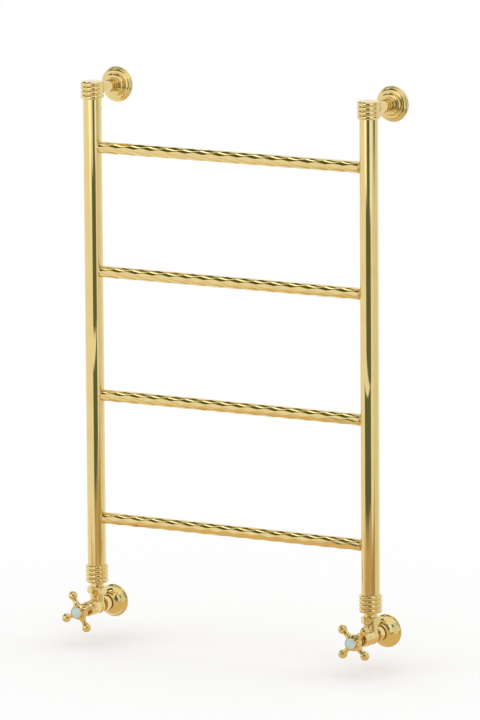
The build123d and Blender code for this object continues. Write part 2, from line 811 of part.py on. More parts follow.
def cross_handle(side: str) -> None:
    """Cross-head handle: hub, flared spokes with balls, square drive and wells for screw and button."""
    x = side_x(side)
    front = facing_room(x, valve_z)
    with BuildPart() as handle:
        handle_hub(lathe_out(x, valve_z))
        for i in range(spoke_count):
            handle_spoke(x, first_spoke[side] + i * 360 / spoke_count)
        cylinder_between(front, button_radius + close_fit, button_floor, handle_front, Mode.SUBTRACT)
        cylinder_between(front, screw_well_radius, web_front, button_floor, Mode.SUBTRACT)
        cylinder_between(front, spindle_radius + close_fit, handle_back, square_start, Mode.SUBTRACT)
        square = spindle_square + 2 * close_fit
        with BuildSketch(front.offset(square_start)):
            Rectangle(square, square, rotation=first_spoke[side])
        extrude(amount=spindle_front - square_start, mode=Mode.SUBTRACT)
        cylinder_between(front, screw_radius + close_fit, spindle_front, web_front, Mode.SUBTRACT)
    write_piece(handle, f"{side}_cross_handle")


def handle_screw(side: str) -> None:
    """Cheese-head screw that holds the handle on the spindle."""
    front = facing_room(side_x(side), valve_z)
    head_front = web_front + screw_head_height
    with BuildPart() as screw:
        cylinder_between(front, screw_radius, spindle_front - screw_length + face_gap, web_front)
        cylinder_between(front, screw_head_radius, web_front, head_front)
        with BuildSketch(front.offset(head_front)):
            Rectangle(2 * screw_head_radius, screw_slot_width)
        extrude(amount=-screw_slot_depth, mode=Mode.SUBTRACT)
    write_piece(screw, f"{side}_handle_screw")


def index_button(side: str) -> None:
    """Glazed button pressed into the front of the handle, slightly domed."""
    rise = handle_front + button_rise
    spigot_back = web_front + screw_head_height + face_gap
    spigot_radius = screw_well_radius - close_fit
    plane = lathe_out(side_x(side), valve_z)
    with BuildPart() as button:
        with BuildSketch(plane):
            with BuildLine():
                Polyline((rise, 0), (spigot_back, 0), (spigot_back, spigot_radius), (button_floor, spigot_radius))
                Polyline(
                    (button_floor, spigot_radius),
                    (button_floor, button_radius),
                    (handle_front, button_radius),
                )
                TangentArc((rise, 0), (handle_front, button_radius), tangent=(0, 1))
            make_face()
        revolve(axis=Axis(plane.origin, plane.x_dir))
    write_piece(button, f"{side}_index_button")


def compression_nut(side: str) -> None:
    """Round, dome-ended compression nut that squeezes the olive onto the pipe."""
    x = side_x(side)
    front = facing_room(x, valve_z)
    plane = lathe_out(x, valve_z)
    end_radius = pipe_radius + compression_nut_end_rise
    dome_start = compression_nut_end - compression_dome_length
    with BuildPart() as nut:
        with BuildSketch(plane):
            with BuildLine():
                Polyline(
                    (-compression_nut_start, 0),
                    (-compression_nut_start, compression_nut_radius),
                    (-dome_start, compression_nut_radius),
                )
                TangentArc(
                    (-dome_start, compression_nut_radius),
                    (-compression_nut_end, end_radius),
                    tangent=(-1, 0),
                )
                Polyline((-compression_nut_end, end_radius), (-compression_nut_end, 0), (-compression_nut_start, 0))
            make_face()
        revolve(axis=Axis(plane.origin, plane.x_dir))
        thread = inlet_thread_radius + close_fit
        cylinder_between(front, thread, -inlet_reach, -compression_nut_start, Mode.SUBTRACT)
        olive_room = pipe_radius + olive_rise + close_fit
        cylinder_between(front, olive_room, -olive_end, -inlet_reach, Mode.SUBTRACT)
        cylinder_between(front, pipe_radius + close_fit, -compression_nut_end, -olive_end, Mode.SUBTRACT)
    write_piece(nut, f"{side}_compression_nut")


def olive(side: str) -> None:
    """Barrel-shaped sealing ring on the supply pipe."""
    inner = pipe_radius + close_fit / 2
    crest = pipe_radius + olive_rise
    edge = (inner + crest) / 2
    bevel = olive_length / 3
    with BuildPart() as ring:
        turned(
            lathe_out(side_x(side), valve_z),
            [
                (-olive_end, inner),
                (-olive_end, edge),
                (bevel - olive_end, crest),
                (-inlet_reach - bevel, crest),
                (-inlet_reach, edge),
                (-inlet_reach, inner),
            ],
        )
    write_piece(ring, f"{side}_olive")


def supply_pipe(side: str) -> None:
    """Supply pipe from the valve's inlet to the wall plane."""
    front = facing_room(side_x(side), valve_z)
    start = pipe_socket_depth - inlet_reach
    with BuildPart() as pipe:
        cylinder_between(front, pipe_radius, -axis_to_wall, start)
        cylinder_between(front, pipe_radius - pipe_wall, -axis_to_wall, start, Mode.SUBTRACT)
    write_piece(pipe, f"{side}_supply_pipe")


def bell_escutcheon(side: str) -> None:
    """Bell-shaped cover that slides on the supply pipe, drawn forward over the compression nut."""
    x = side_x(side)
    front = facing_room(x, valve_z)
    plane = lathe_out(x, valve_z)
    rim_front = bell_end - bell_rim_thickness
    neck_inside = bell_lip_radius - bell_wall
    shoulder_inside = bell_shoulder_radius - bell_wall
    with BuildPart() as bell:
        with BuildSketch(plane):
            with BuildLine():
                Polyline((-bell_front, 0), (-bell_front, bell_lip_radius), (-bell_web_front, bell_lip_radius))
                TangentArc(
                    (-bell_shoulder, bell_shoulder_radius),
                    (-bell_web_front, bell_lip_radius),
                    tangent=(1, -bell_shoulder_slope),
                )
                TangentArc(
                    (-bell_shoulder, bell_shoulder_radius),
                    (-rim_front, bell_rim_radius),
                    tangent=(-1, bell_shoulder_slope),
                )
                Polyline(
                    (-rim_front, bell_rim_radius),
                    (-bell_end, bell_rim_radius),
                    (-bell_end, 0),
                    (-bell_front, 0),
                )
            make_face()
        revolve(axis=Axis(plane.origin, plane.x_dir))
        with BuildSketch(plane):
            with BuildLine():
                Line((-bell_web_back, 0), (-bell_web_back, neck_inside))
                TangentArc(
                    (-bell_shoulder, shoulder_inside),
                    (-bell_web_back, neck_inside),
                    tangent=(1, -bell_shoulder_slope),
                )
                Polyline(
                    (-bell_shoulder, shoulder_inside),
                    (-bell_end, shoulder_inside),
                    (-bell_end, 0),
                    (-bell_web_back, 0),
                )
            make_face()
        revolve(axis=Axis(plane.origin, plane.x_dir), mode=Mode.SUBTRACT)
        cylinder_between(front, bell_lip_bore_radius, -bell_web_front, -bell_front, Mode.SUBTRACT)
        cylinder_between(front, pipe_radius + pipe_fit, -bell_end, -bell_web_front, Mode.SUBTRACT)
    write_piece(bell, f"{side}_bell_escutcheon")


os.makedirs("parts", exist_ok=True)

for number, height in enumerate(rung_heights, start=1):
    rung(number, height)

stem_grub_screws()

for side_name in sides:
    upright(side_name)
    top_collar(side_name)
    bottom_collar(side_name)
    bracket_stem(side_name)
    wall_plate(side_name)
    wall_rose(side_name)
    air_vent(side_name)
    vent_screw(side_name)
    valve_tail(side_name)
    union_nut(side_name)
    union_washer(side_name)
    valve_body(side_name)
    headwork(side_name)
    headwork_shroud(side_name)
    spindle(side_name)
    spindle_packing(side_name)
    gland_nut(side_name)
    valve_plug(side_name)
    plug_washer(side_name)
    cross_handle(side_name)
    handle_screw(side_name)
    index_button(side_name)
    compression_nut(side_name)
    olive(side_name)
    supply_pipe(side_name)
    bell_escutcheon(side_name)
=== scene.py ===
"""Polished pieces, finishes, studio and camera for a water-heated towel rail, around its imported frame."""

import json
import logging
import math
from dataclasses import dataclass, field
from enum import Enum

import bmesh
import bpy
from mathutils import Matrix, Vector

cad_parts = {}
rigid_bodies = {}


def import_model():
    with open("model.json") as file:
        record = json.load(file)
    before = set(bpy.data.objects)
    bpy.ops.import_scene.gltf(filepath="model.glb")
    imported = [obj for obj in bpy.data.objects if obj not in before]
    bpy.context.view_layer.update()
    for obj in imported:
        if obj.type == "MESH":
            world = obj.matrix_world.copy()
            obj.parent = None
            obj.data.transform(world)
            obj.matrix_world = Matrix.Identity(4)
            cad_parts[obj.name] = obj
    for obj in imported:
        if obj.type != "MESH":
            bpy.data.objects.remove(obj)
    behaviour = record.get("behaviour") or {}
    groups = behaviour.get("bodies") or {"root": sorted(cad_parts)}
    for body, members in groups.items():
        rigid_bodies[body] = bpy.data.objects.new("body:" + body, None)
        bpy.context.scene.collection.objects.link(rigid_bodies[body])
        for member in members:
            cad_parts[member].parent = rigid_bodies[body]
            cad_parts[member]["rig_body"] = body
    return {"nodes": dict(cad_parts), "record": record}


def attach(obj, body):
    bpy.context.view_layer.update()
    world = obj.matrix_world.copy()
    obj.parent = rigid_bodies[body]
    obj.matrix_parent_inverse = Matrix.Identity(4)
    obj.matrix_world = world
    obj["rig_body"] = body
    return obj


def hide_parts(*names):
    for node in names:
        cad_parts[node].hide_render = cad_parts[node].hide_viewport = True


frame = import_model()

MM = 0.001
IMAGE_HEIGHT = 720
SENSOR_WIDTH = 36.0
POLISH_DEPTH = 0.00002
SPECKLE_DEPTH = 0.0001

log = logging.getLogger("towel_rail")

Colour = tuple[float, float, float]


class Side(Enum):
    """One of the rail's two uprights; the value is the sign of its X."""

    LEFT = -1
    RIGHT = 1

    @property
    def label(self) -> str:
        """The word that starts this side's node names."""
        return self.name.lower()

    def node(self, name: str) -> str:
        """Names a paired node.

        Args:
            name: the node's name without its side.

        Returns:
            The full node name.
        """
        return f"{self.label}_{name}"


class Axis(Enum):
    """The way in which a turned piece's outline runs."""

    UP = Matrix.Identity(4)
    ROOM = Matrix.Rotation(math.radians(90), 4, "X")
    WALL = Matrix.Rotation(math.radians(-90), 4, "X")
    ACROSS = Matrix.Rotation(math.radians(90), 4, "Y")


# Outlines and meshes


@dataclass
class Outline:
    """Half section of a turned piece, in millimetres: distance along the axis, then radius."""

    corners: list[tuple[float, float, float]] = field(default_factory=list)

    def to(self, along: float, radius: float, rounding: float = 0.0) -> "Outline":
        """Adds a corner.

        Args:
            along: distance along the axis.
            radius: distance from the axis.
            rounding: radius of the rounding at this corner.

        Returns:
            The outline itself, so that calls can be chained.
        """
        self.corners.append((along, radius, rounding))
        return self

    def arc(self, through: tuple[float, float], end: tuple[float, float], steps: int = 10) -> "Outline":
        """Adds a circular arc from the last corner.

        Args:
            through: a point on the arc.
            end: where the arc ends.
            steps: number of chords.

        Returns:
            The outline itself.
        """
        start = Vector(self.corners[-1][:2])
        middle, last = Vector(through), Vector(end)
        centre = _circle_centre(start, middle, last)
        first_angle = math.atan2(*(start - centre).yx)
        turn = _swept_angle(start - centre, middle - centre, last - centre)
        radius = (start - centre).length
        for step in range(1, steps + 1):
            angle = first_angle + turn * step / steps
            self.to(centre.x + radius * math.cos(angle), centre.y + radius * math.sin(angle))
        return self

    def points(self, closed: bool) -> list[tuple[float, float]]:
        """Works out the outline with its rounded corners.

        Args:
            closed: whether the last corner joins the first.

        Returns:
            The points in order.
        """
        count = len(self.corners)
        rounded: list[tuple[float, float]] = []
        for i, (along, radius, rounding) in enumerate(self.corners):
            here = Vector((along, radius))
            inner = closed or 0 < i < count - 1
            if rounding <= 0 or not inner:
                rounded.append(here[:])
                continue
            before = Vector(self.corners[i - 1][:2]) - here
            after = Vector(self.corners[(i + 1) % count][:2]) - here
            reach = min(rounding, 0.45 * before.length, 0.45 * after.length)
            a, b = here + before.normalized() * reach, here + after.normalized() * reach
            for step in range(5):
                t = step / 4
                rounded.append((a.lerp(here, t).lerp(here.lerp(b, t), t))[:])
        return rounded


def bend(
    start: tuple[float, float], leaving: tuple[float, float], end: tuple[float, float]
) -> tuple[float, float]:
    """Finds the middle of the arc that leaves a point along a given direction and ends at another.

    Args:
        start: where the arc starts.
        leaving: the direction in which it leaves.
        end: where it ends.

    Returns:
        The arc's middle point.
    """
    a, b, along = Vector(start), Vector(end), Vector(leaving).normalized()
    across = Vector((-along.y, along.x))
    radius = (b - a).length_squared / (2 * across.dot(b - a))
    centre = a + across * radius
    towards = ((a - centre) + (b - centre)).normalized()
    return (centre + towards * abs(radius))[:]


def _circle_centre(a: Vector, b: Vector, c: Vector) -> Vector:
    """Finds the centre of the circle through three points.

    Args:
        a: first point.
        b: second point.
        c: third point.

    Returns:
        The centre.
    """
    d = 2 * (a.x * (b.y - c.y) + b.x * (c.y - a.y) + c.x * (a.y - b.y))
    x = (a.length_squared * (b.y - c.y) + b.length_squared * (c.y - a.y) + c.length_squared * (a.y - b.y)) / d
    y = (a.length_squared * (c.x - b.x) + b.length_squared * (a.x - c.x) + c.length_squared * (b.x - a.x)) / d
    return Vector((x, y))


def _swept_angle(start: Vector, middle: Vector, end: Vector) -> float:
    """Measures an arc's signed angle, from its start through its middle to its end.

    Args:
        start: start, seen from the centre.
        middle: a point between, seen from the centre.
        end: end, seen from the centre.

    Returns:
        The angle in radians.
    """
    full = 2 * math.pi
    first = math.atan2(start.y, start.x)
    to_middle = (math.atan2(middle.y, middle.x) - first) % full
    to_end = (math.atan2(end.y, end.x) - first) % full
    return to_end if to_middle < to_end else to_end - full


def tidy_mesh(mesh: bmesh.types.BMesh) -> bmesh.types.BMesh:
    """Merges doubled points and turns all faces outwards.

    Args:
        mesh: the mesh.

    Returns:
        The same mesh.
    """
    bmesh.ops.remove_doubles(mesh, verts=mesh.verts, dist=1e-6)
    bmesh.ops.recalc_face_normals(mesh, faces=mesh.faces)
    return mesh


def turned(
    outline: Outline, axis: Axis, origin: Vector, closed: bool = True, steps: int = 128
) -> bmesh.types.BMesh:
    """Turns an outline round its axis.

    Args:
        outline: the half section, in millimetres.
        axis: the way in which the outline runs.
        origin: where the outline's zero lies, in millimetres.
        closed: whether the outline is a ring that joins up.
        steps: number of steps round the axis.

    Returns:
        The mesh, in metres and in place.
    """
    mesh = bmesh.new()
    points = [mesh.verts.new((radius * MM, 0, along * MM)) for along, radius in outline.points(closed)]
    pairs = list(zip(points, points[1:]))
    if closed:
        pairs.append((points[-1], points[0]))
    edges = [mesh.edges.new(pair) for pair in pairs]
    bmesh.ops.spin(
        mesh,
        geom=points + edges,
        cent=(0, 0, 0),
        axis=(0, 0, 1),
        angle=2 * math.pi,
        steps=steps,
        use_merge=True,
    )
    bmesh.ops.transform(mesh, matrix=Matrix.Translation(origin * MM) @ axis.value, verts=mesh.verts)
    return tidy_mesh(mesh)


def joined(meshes: list[bmesh.types.BMesh]) -> bmesh.types.BMesh:
    """Puts several meshes into one.

    Args:
        meshes: the meshes, which are used up.

    Returns:
        One mesh that holds them all.
    """
    whole = bmesh.new()
    for mesh in meshes:
        data = bpy.data.meshes.new("part")
        mesh.to_mesh(data)
        mesh.free()
        whole.from_mesh(data)
        bpy.data.meshes.remove(data)
    return whole


# Shader groups


class NodeSheet:
    """Small helper that places and links nodes in one tree."""

    def __init__(self, tree: bpy.types.NodeTree) -> None:
        """Keeps the tree.

        Args:
            tree: a material's, world's or group's tree.
        """
        self.tree = tree

    def add(self, kind: str, links: dict | None = None, **settings: object) -> bpy.types.Node:
        """Adds a node.

        Args:
            kind: the node's type name, without the leading ShaderNode.
            links: what goes into its inputs, by name or number: an output socket or a plain value.
            **settings: the node's own settings.

        Returns:
            The new node.
        """
        node = self.tree.nodes.new(kind if kind.startswith("Node") else f"ShaderNode{kind}")
        for name, value in settings.items():
            setattr(node, name, value)
        for key, value in (links or {}).items():
            if isinstance(value, bpy.types.NodeSocket):
                self.tree.links.new(value, node.inputs[key])
            else:
                node.inputs[key].default_value = value
        return node


def open_group(
    name: str, inputs: dict[str, str], outputs: dict[str, str]
) -> tuple[bpy.types.NodeTree, NodeSheet]:
    """Starts a shader node group.

    Args:
        name: the group's name.
        inputs: socket types by name.
        outputs: socket types by name.

    Returns:
        The group and a sheet to draw in.
    """
    group = bpy.data.node_groups.new(name, "ShaderNodeTree")
    for label, kind in inputs.items():
        group.interface.new_socket(label, in_out="INPUT", socket_type=f"NodeSocket{kind}")
    for label, kind in outputs.items():
        group.interface.new_socket(label, in_out="OUTPUT", socket_type=f"NodeSocket{kind}")
    return group, NodeSheet(group)


def polish_marks_group() -> bpy.types.NodeTree:
    """Builds the group for hand-polished metal: faint smudges, fine hairlines and painted shade in the
    recesses.

    Returns:
        The group, with Colour, Roughness and Height outputs.
    """
    group, sheet = open_group(
        "polish_marks",
        {
            "Vector": "Vector",
            "Bright Colour": "Color",
            "Deep Colour": "Color",
            "Smudge Scale": "Float",
            "Hairline Scale": "Float",
            "Clean Roughness": "Float",
            "Marked Roughness": "Float",
        },
        {"Colour": "Color", "Roughness": "Float", "Height": "Float"},
    )
    given = sheet.add("NodeGroupInput").outputs
    smudge = sheet.add("TexNoise", {"Vector": given["Vector"], "Scale": given["Smudge Scale"], "Detail": 4.0})
    stretched = sheet.add("Mapping", {"Vector": given["Vector"], "Scale": (1.0, 1.0, 0.06)})
    hair = sheet.add(
        "TexNoise",
        {"Vector": stretched.outputs[0], "Scale": given["Hairline Scale"], "Detail": 2.0, "Roughness": 0.7},
    )
    smudged = sheet.add("MapRange", {0: smudge.outputs["Fac"], 1: 0.45, 2: 0.75})
    haired = sheet.add("MapRange", {0: hair.outputs["Fac"], 1: 0.55, 2: 0.8})
    # Painted shade: recesses, where pointiness is low, are darkened towards the same colour as the smudges.
    point = sheet.add("NewGeometry").outputs["Pointiness"]
    recess = sheet.add("MapRange", {0: point, 1: 0.5, 2: 0.42, 3: 0.0, 4: 0.35})
    mask = sheet.add("Math", {0: smudged.outputs[0], 1: 0.18}, operation="MULTIPLY")
    smudge_and_shade_mask = sheet.add("Math", {0: mask.outputs[0], 1: recess.outputs[0]}, operation="ADD", use_clamp=True)
    colour = sheet.add(
        "Mix",
        {0: smudge_and_shade_mask.outputs[0], 6: given["Bright Colour"], 7: given["Deep Colour"]},
        data_type="RGBA",
    )
    rough_mask = sheet.add("Math", {0: haired.outputs[0], 1: smudged.outputs[0]}, operation="MAXIMUM")
    rough = sheet.add(
        "MapRange", {0: rough_mask.outputs[0], 3: given["Clean Roughness"], 4: given["Marked Roughness"]}
    )
    sheet.add(
        "NodeGroupOutput",
        {"Colour": colour.outputs[2], "Roughness": rough.outputs[0], "Height": haired.outputs[0]},
    )
    return group


def speckle_group() -> bpy.types.NodeTree:
    """Builds the group for speckled, matt or glazed stuff: two colours, a speckle and a fine height.

    Returns:
        The group, with Colour, Roughness and Height outputs.
    """
    group, sheet = open_group(
        "speckle",
        {
            "Vector": "Vector",
            "Ground Colour": "Color",
            "Speckle Colour": "Color",
            "Speckle Scale": "Float",
            "Speckle Amount": "Float",
            "Low Roughness": "Float",
            "High Roughness": "Float",
        },
        {"Colour": "Color", "Roughness": "Float", "Height": "Float"},
    )
    given = sheet.add("NodeGroupInput").outputs
    noise = sheet.add("TexNoise", {"Vector": given["Vector"], "Scale": given["Speckle Scale"], "Detail": 5.0})
    cells = sheet.add("TexVoronoi", {"Vector": given["Vector"], "Scale": given["Speckle Scale"]})
    spots = sheet.add("MapRange", {0: cells.outputs["Distance"], 1: 0.35, 2: 0.05})
    both = sheet.add("Math", {0: spots.outputs[0], 1: noise.outputs["Fac"]}, operation="MULTIPLY")
    amount = sheet.add(
        "Math",
        {0: both.outputs[0], 1: given["Speckle Amount"]},
        operation="MULTIPLY",
        use_clamp=True,
    )
    colour = sheet.add(
        "Mix", {0: amount.outputs[0], 6: given["Ground Colour"], 7: given["Speckle Colour"]}, data_type="RGBA"
    )
    rough = sheet.add(
        "MapRange", {0: noise.outputs["Fac"], 3: given["Low Roughness"], 4: given["High Roughness"]}
    )
    sheet.add(
        "NodeGroupOutput",
        {"Colour": colour.outputs[2], "Roughness": rough.outputs[0], "Height": noise.outputs["Fac"]},
    )
    return group


# Finishes


@dataclass(frozen=True)
class Metal:
    """A metal finish.

    Attributes:
        slot: the record's material slot.
        bright: colour of clean metal.
        deep: colour of the smudges, and of the painted shade in recesses.
        smudge_scale: size of the smudges, larger is finer.
        hairline_scale: size of the hairlines, larger is finer.
        clean_roughness: roughness of clean metal.
        marked_roughness: roughness at hairlines and smudges.
        relief: strength of the hairlines' bump.
    """

    slot: str
    bright: Colour
    deep: Colour
    smudge_scale: float
    hairline_scale: float
    clean_roughness: float
    marked_roughness: float
    relief: float

    def material(self, groups: dict[str, bpy.types.NodeTree]) -> bpy.types.Material:
        """Makes the material.

        Args:
            groups: shader groups by name.

        Returns:
            The material.
        """
        made, sheet, shader = new_material(self.slot)
        shader.inputs["Metallic"].default_value = 1.0
        where = sheet.add("TexCoord").outputs["Object"]
        marks = sheet.add("Group", node_tree=groups["polish_marks"])
        sheet.tree.links.new(where, marks.inputs["Vector"])
        # The second colour serves both the smudges and the painted shade in recesses.
        set_inputs(
            marks,
            {
                "Bright Colour": (*self.bright, 1.0),
                "Deep Colour": (*self.deep, 1.0),
                "Smudge Scale": self.smudge_scale,
                "Hairline Scale": self.hairline_scale,
                "Clean Roughness": self.clean_roughness,
                "Marked Roughness": self.marked_roughness,
            },
        )
        finish_surface(sheet, shader, marks, self.relief, POLISH_DEPTH)
        return made


@dataclass(frozen=True)
class Speckled:
    """A finish that isn't metal.

    Attributes:
        slot: the record's material slot.
        ground: main colour.
        speck: colour of the speckles.
        scale: size of the speckles, larger is finer.
        amount: how strong the speckles are.
        low_roughness: least roughness.
        high_roughness: most roughness.
        relief: strength of the bump.
        coat: weight of a clear glaze.
    """

    slot: str
    ground: Colour
    speck: Colour
    scale: float
    amount: float
    low_roughness: float
    high_roughness: float
    relief: float
    coat: float = 0.0

    def material(self, groups: dict[str, bpy.types.NodeTree]) -> bpy.types.Material:
        """Makes the material.

        Args:
            groups: shader groups by name.

        Returns:
            The material.
        """
        made, sheet, shader = new_material(self.slot)
        shader.inputs["Coat Weight"].default_value = self.coat
        where = sheet.add("TexCoord").outputs["Object"]
        specks = sheet.add("Group", node_tree=groups["speckle"])
        sheet.tree.links.new(where, specks.inputs["Vector"])
        set_inputs(
            specks,
            {
                "Ground Colour": (*self.ground, 1.0),
                "Speckle Colour": (*self.speck, 1.0),
                "Speckle Scale": self.scale,
                "Speckle Amount": self.amount,
                "Low Roughness": self.low_roughness,
                "High Roughness": self.high_roughness,
            },
        )
        finish_surface(sheet, shader, specks, self.relief, SPECKLE_DEPTH)
        return made


def new_material(name: str) -> tuple[bpy.types.Material, NodeSheet, bpy.types.Node]:
    """Starts a material.

    Args:
        name: its name.

    Returns:
        The material, a sheet of its tree, and its shader node.
    """
    made = bpy.data.materials.new(name)
    made.use_nodes = True
    made.node_tree.nodes.clear()
    sheet = NodeSheet(made.node_tree)
    shader = sheet.add("BsdfPrincipled")
    sheet.add("OutputMaterial", {"Surface": shader.outputs[0]})
    return made, sheet, shader


def set_inputs(node: bpy.types.Node, values: dict[str, object]) -> None:
    """Sets a node's plain inputs.

    Args:
        node: the node.
        values: values by input name.
    """
    for name, value in values.items():
        node.inputs[name].default_value = value


def finish_surface(
    sheet: NodeSheet, shader: bpy.types.Node, marks: bpy.types.Node, relief: float, depth: float
) -> None:
    """Links a group's colour, roughness and height to a shader.

    Args:
        sheet: the material's sheet.
        shader: the Principled shader.
        marks: the group node.
        relief: strength of the bump.
        depth: depth of the bump in metres.
    """
    links = sheet.tree.links
    links.new(marks.outputs["Colour"], shader.inputs["Base Color"])
    links.new(marks.outputs["Roughness"], shader.inputs["Roughness"])
    bump = sheet.add("Bump", {"Strength": relief, "Distance": depth, "Height": marks.outputs["Height"]})
    links.new(bump.outputs[0], shader.inputs["Normal"])


# Each metal's second colour is for its smudges and for the painted shade in its recesses.
FINISHES = (
    Metal("polished_brass", (0.79, 0.625, 0.275), (0.70, 0.42, 0.13), 45.0, 900.0, 0.035, 0.09, 0.02),
    Metal("plain_brass", (0.72, 0.52, 0.22), (0.42, 0.24, 0.08), 60.0, 700.0, 0.24, 0.42, 0.15),
    Metal("steel", (0.58, 0.58, 0.57), (0.33, 0.30, 0.27), 80.0, 900.0, 0.22, 0.4, 0.15),
    Speckled("glazed_ceramic", (0.50, 0.62, 0.58), (0.16, 0.40, 0.38), 300.0, 0.9, 0.07, 0.14, 0.04, 1.0),
    Speckled("rubber", (0.025, 0.025, 0.026), (0.07, 0.07, 0.07), 1500.0, 0.6, 0.6, 0.8, 0.2),
    Speckled("fibre", (0.35, 0.12, 0.07), (0.52, 0.25, 0.15), 1200.0, 0.9, 0.75, 0.9, 0.4),
)


class FinishShelf:
    """Holds each finish's material."""

    def __init__(self, finishes: tuple[Metal | Speckled, ...]) -> None:
        """Builds the shader groups and the materials.

        Args:
            finishes: the finishes in use.
        """
        groups = {"polish_marks": polish_marks_group(), "speckle": speckle_group()}
        self.materials = {finish.slot: finish.material(groups) for finish in finishes}

    def dress_frame(self, slots: dict[str, str]) -> None:
        """Gives each carried-over CAD node its material.

        Args:
            slots: material slot by node name.
        """
        for name, node in frame["nodes"].items():
            node.data.materials.clear()
            node.data.materials.append(self.materials[slots[name]])
            log.info("node %s takes %s", name, slots[name])


# Sub-assemblies


class Assembly:
    """A group of pieces that belong together on the real rail."""

    def __init__(self, shelf: FinishShelf) -> None:
        """Keeps the finishes.

        Args:
            shelf: the finishes' materials.
        """
        self.shelf = shelf

    def show(
        self, mesh: bmesh.types.BMesh, name: str, node: str, slot: str = "polished_brass", even: bool = True
    ) -> bpy.types.Object:
        """Turns a mesh into a shown piece that stands for a CAD node.

        Args:
            mesh: the mesh, in metres and in place; it is used up.
            name: the piece's name.
            node: the CAD node that it stands for.
            slot: its material slot.
            even: whether its large faces are shaded flat and only its edges round.

        Returns:
            The piece.
        """
        for face in mesh.faces:
            face.smooth = True
        data = bpy.data.meshes.new(name)
        mesh.to_mesh(data)
        mesh.free()
        piece = bpy.data.objects.new(name, data)
        bpy.context.scene.collection.objects.link(piece)
        data.materials.append(self.shelf.materials[slot])
        if even:
            shading = piece.modifiers.new("even_shading", "WEIGHTED_NORMAL")
            shading.keep_sharp = True
        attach(piece, frame["nodes"][node]["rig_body"])
        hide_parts(node)
        log.info("piece %s stands for %s with %d faces", name, node, len(data.polygons))
        return piece


class SidedAssembly(Assembly):
    """An assembly that the rail has once on each side."""

    def __init__(self, shelf: FinishShelf, side: Side) -> None:
        """Keeps the finishes and the side.

        Args:
            shelf: the finishes' materials.
            side: which side of the rail.
        """
        super().__init__(shelf)
        self.side = side

    def fit(
        self, mesh: bmesh.types.BMesh, name: str, node: str, slot: str = "polished_brass"
    ) -> bpy.types.Object:
        """Shows a piece of this side.

        Args:
            mesh: the mesh, in metres and in place; it is used up.
            name: the piece's name without its side.
            node: the CAD node's name without its side.
            slot: its material slot.

        Returns:
            The piece.
        """
        return self.show(mesh, self.side.node(name), self.side.node(node), slot)


@dataclass(frozen=True)
class Edges:
    """Roundings of edges, in millimetres."""

    crisp: float = 0.2
    fine: float = 0.3
    eased: float = 0.4
    soft: float = 0.5
    full: float = 0.8
    broken: float = 1.0
    rolled: float = 1.2


@dataclass(frozen=True)
class RailSizes:
    """Sizes that several sub-assemblies share, in millimetres."""

    upright_x: float = 274.0
    upright_y: float = -86.0
    valve_z: float = -908.0
    tube_radius: float = 16.0
    bead_height: float = 7.6
    groove_radius: float = 18.1
    bead_radius: float = 20.0
    bead_count: int = 4
    bead_chords: int = 14
    fit: float = 0.05

    def upright_axis(self, side: Side, z: float = 0.0) -> Vector:
        """Finds a point on an upright's axis.

        Args:
            side: which upright.
            z: the point's height.

        Returns:
            The point.
        """
        return Vector((side.value * self.upright_x, self.upright_y, z))

    def valve_axis(self, side: Side) -> Vector:
        """Finds where a valve's axis crosses the upright's.

        Args:
            side: which valve.

        Returns:
            The point.
        """
        return self.upright_axis(side, self.valve_z)


EDGES = Edges()
RAIL = RailSizes()


@dataclass(frozen=True)
class TubeSizes:
    """Sizes of an upright and its collars, in millimetres."""

    low: float = -852.8
    high: float = -8.0
    bore_radius: float = 14.5
    cap_inset: float = 0.6
    foot_floor: float = 12.4
    waterway_radius: float = 8.0


class Upright(SidedAssembly):
    """An upright tube with its two beaded collars."""

    sizes = TubeSizes()

    def build(self) -> None:
        """Makes the tube and the collars."""
        sizes = self.sizes
        tube = Outline().to(sizes.low, sizes.bore_radius).to(sizes.low, RAIL.tube_radius, EDGES.eased)
        tube.to(sizes.high, RAIL.tube_radius, EDGES.eased).to(sizes.high, sizes.bore_radius)
        self.fit(turned(tube, Axis.UP, RAIL.upright_axis(self.side)), "tube", "upright")
        half = RAIL.bead_height * RAIL.bead_count / 2
        self.fit(self._cap(half), "beaded_cap", "top_collar")
        self.fit(self._foot(half), "beaded_foot", "bottom_collar")

    def _beads(self, half: float) -> Outline:
        """Draws the beads that both collars have outside.

        Args:
            half: half a collar's height, in millimetres.

        Returns:
            The outline, from below to above.
        """
        outline = Outline().to(-half, RAIL.groove_radius)
        for i in range(RAIL.bead_count):
            low = i * RAIL.bead_height - half
            crest = (low + RAIL.bead_height / 2, RAIL.bead_radius)
            outline.arc(crest, (low + RAIL.bead_height, RAIL.groove_radius), RAIL.bead_chords)
        return outline

    def _cap(self, half: float) -> bmesh.types.BMesh:
        """Makes the collar that closes the upright's top.

        Args:
            half: half its height, in millimetres.

        Returns:
            The mesh.
        """
        socket = RAIL.tube_radius + RAIL.fit
        ceiling = self.sizes.high + RAIL.fit
        outline = self._beads(half)
        outline.to(half, RAIL.groove_radius - self.sizes.cap_inset, EDGES.soft).to(half, 0.0)
        outline.corners.reverse()
        outline.to(-half, socket).to(ceiling, socket).to(ceiling, 0.0)
        return turned(outline, Axis.UP, RAIL.upright_axis(self.side), closed=False)

    def _foot(self, half: float) -> bmesh.types.BMesh:
        """Makes the collar between the upright and the valve.

        Args:
            half: half its height, in millimetres.

        Returns:
            The mesh.
        """
        sizes = self.sizes
        centre = sizes.low + half - sizes.foot_floor
        floor, socket = sizes.foot_floor - half, RAIL.tube_radius + RAIL.fit
        outline = self._beads(half).to(half, socket).to(floor, socket)
        outline.to(floor, sizes.waterway_radius).to(-half, sizes.waterway_radius)
        return turned(outline, Axis.UP, RAIL.upright_axis(self.side, centre))


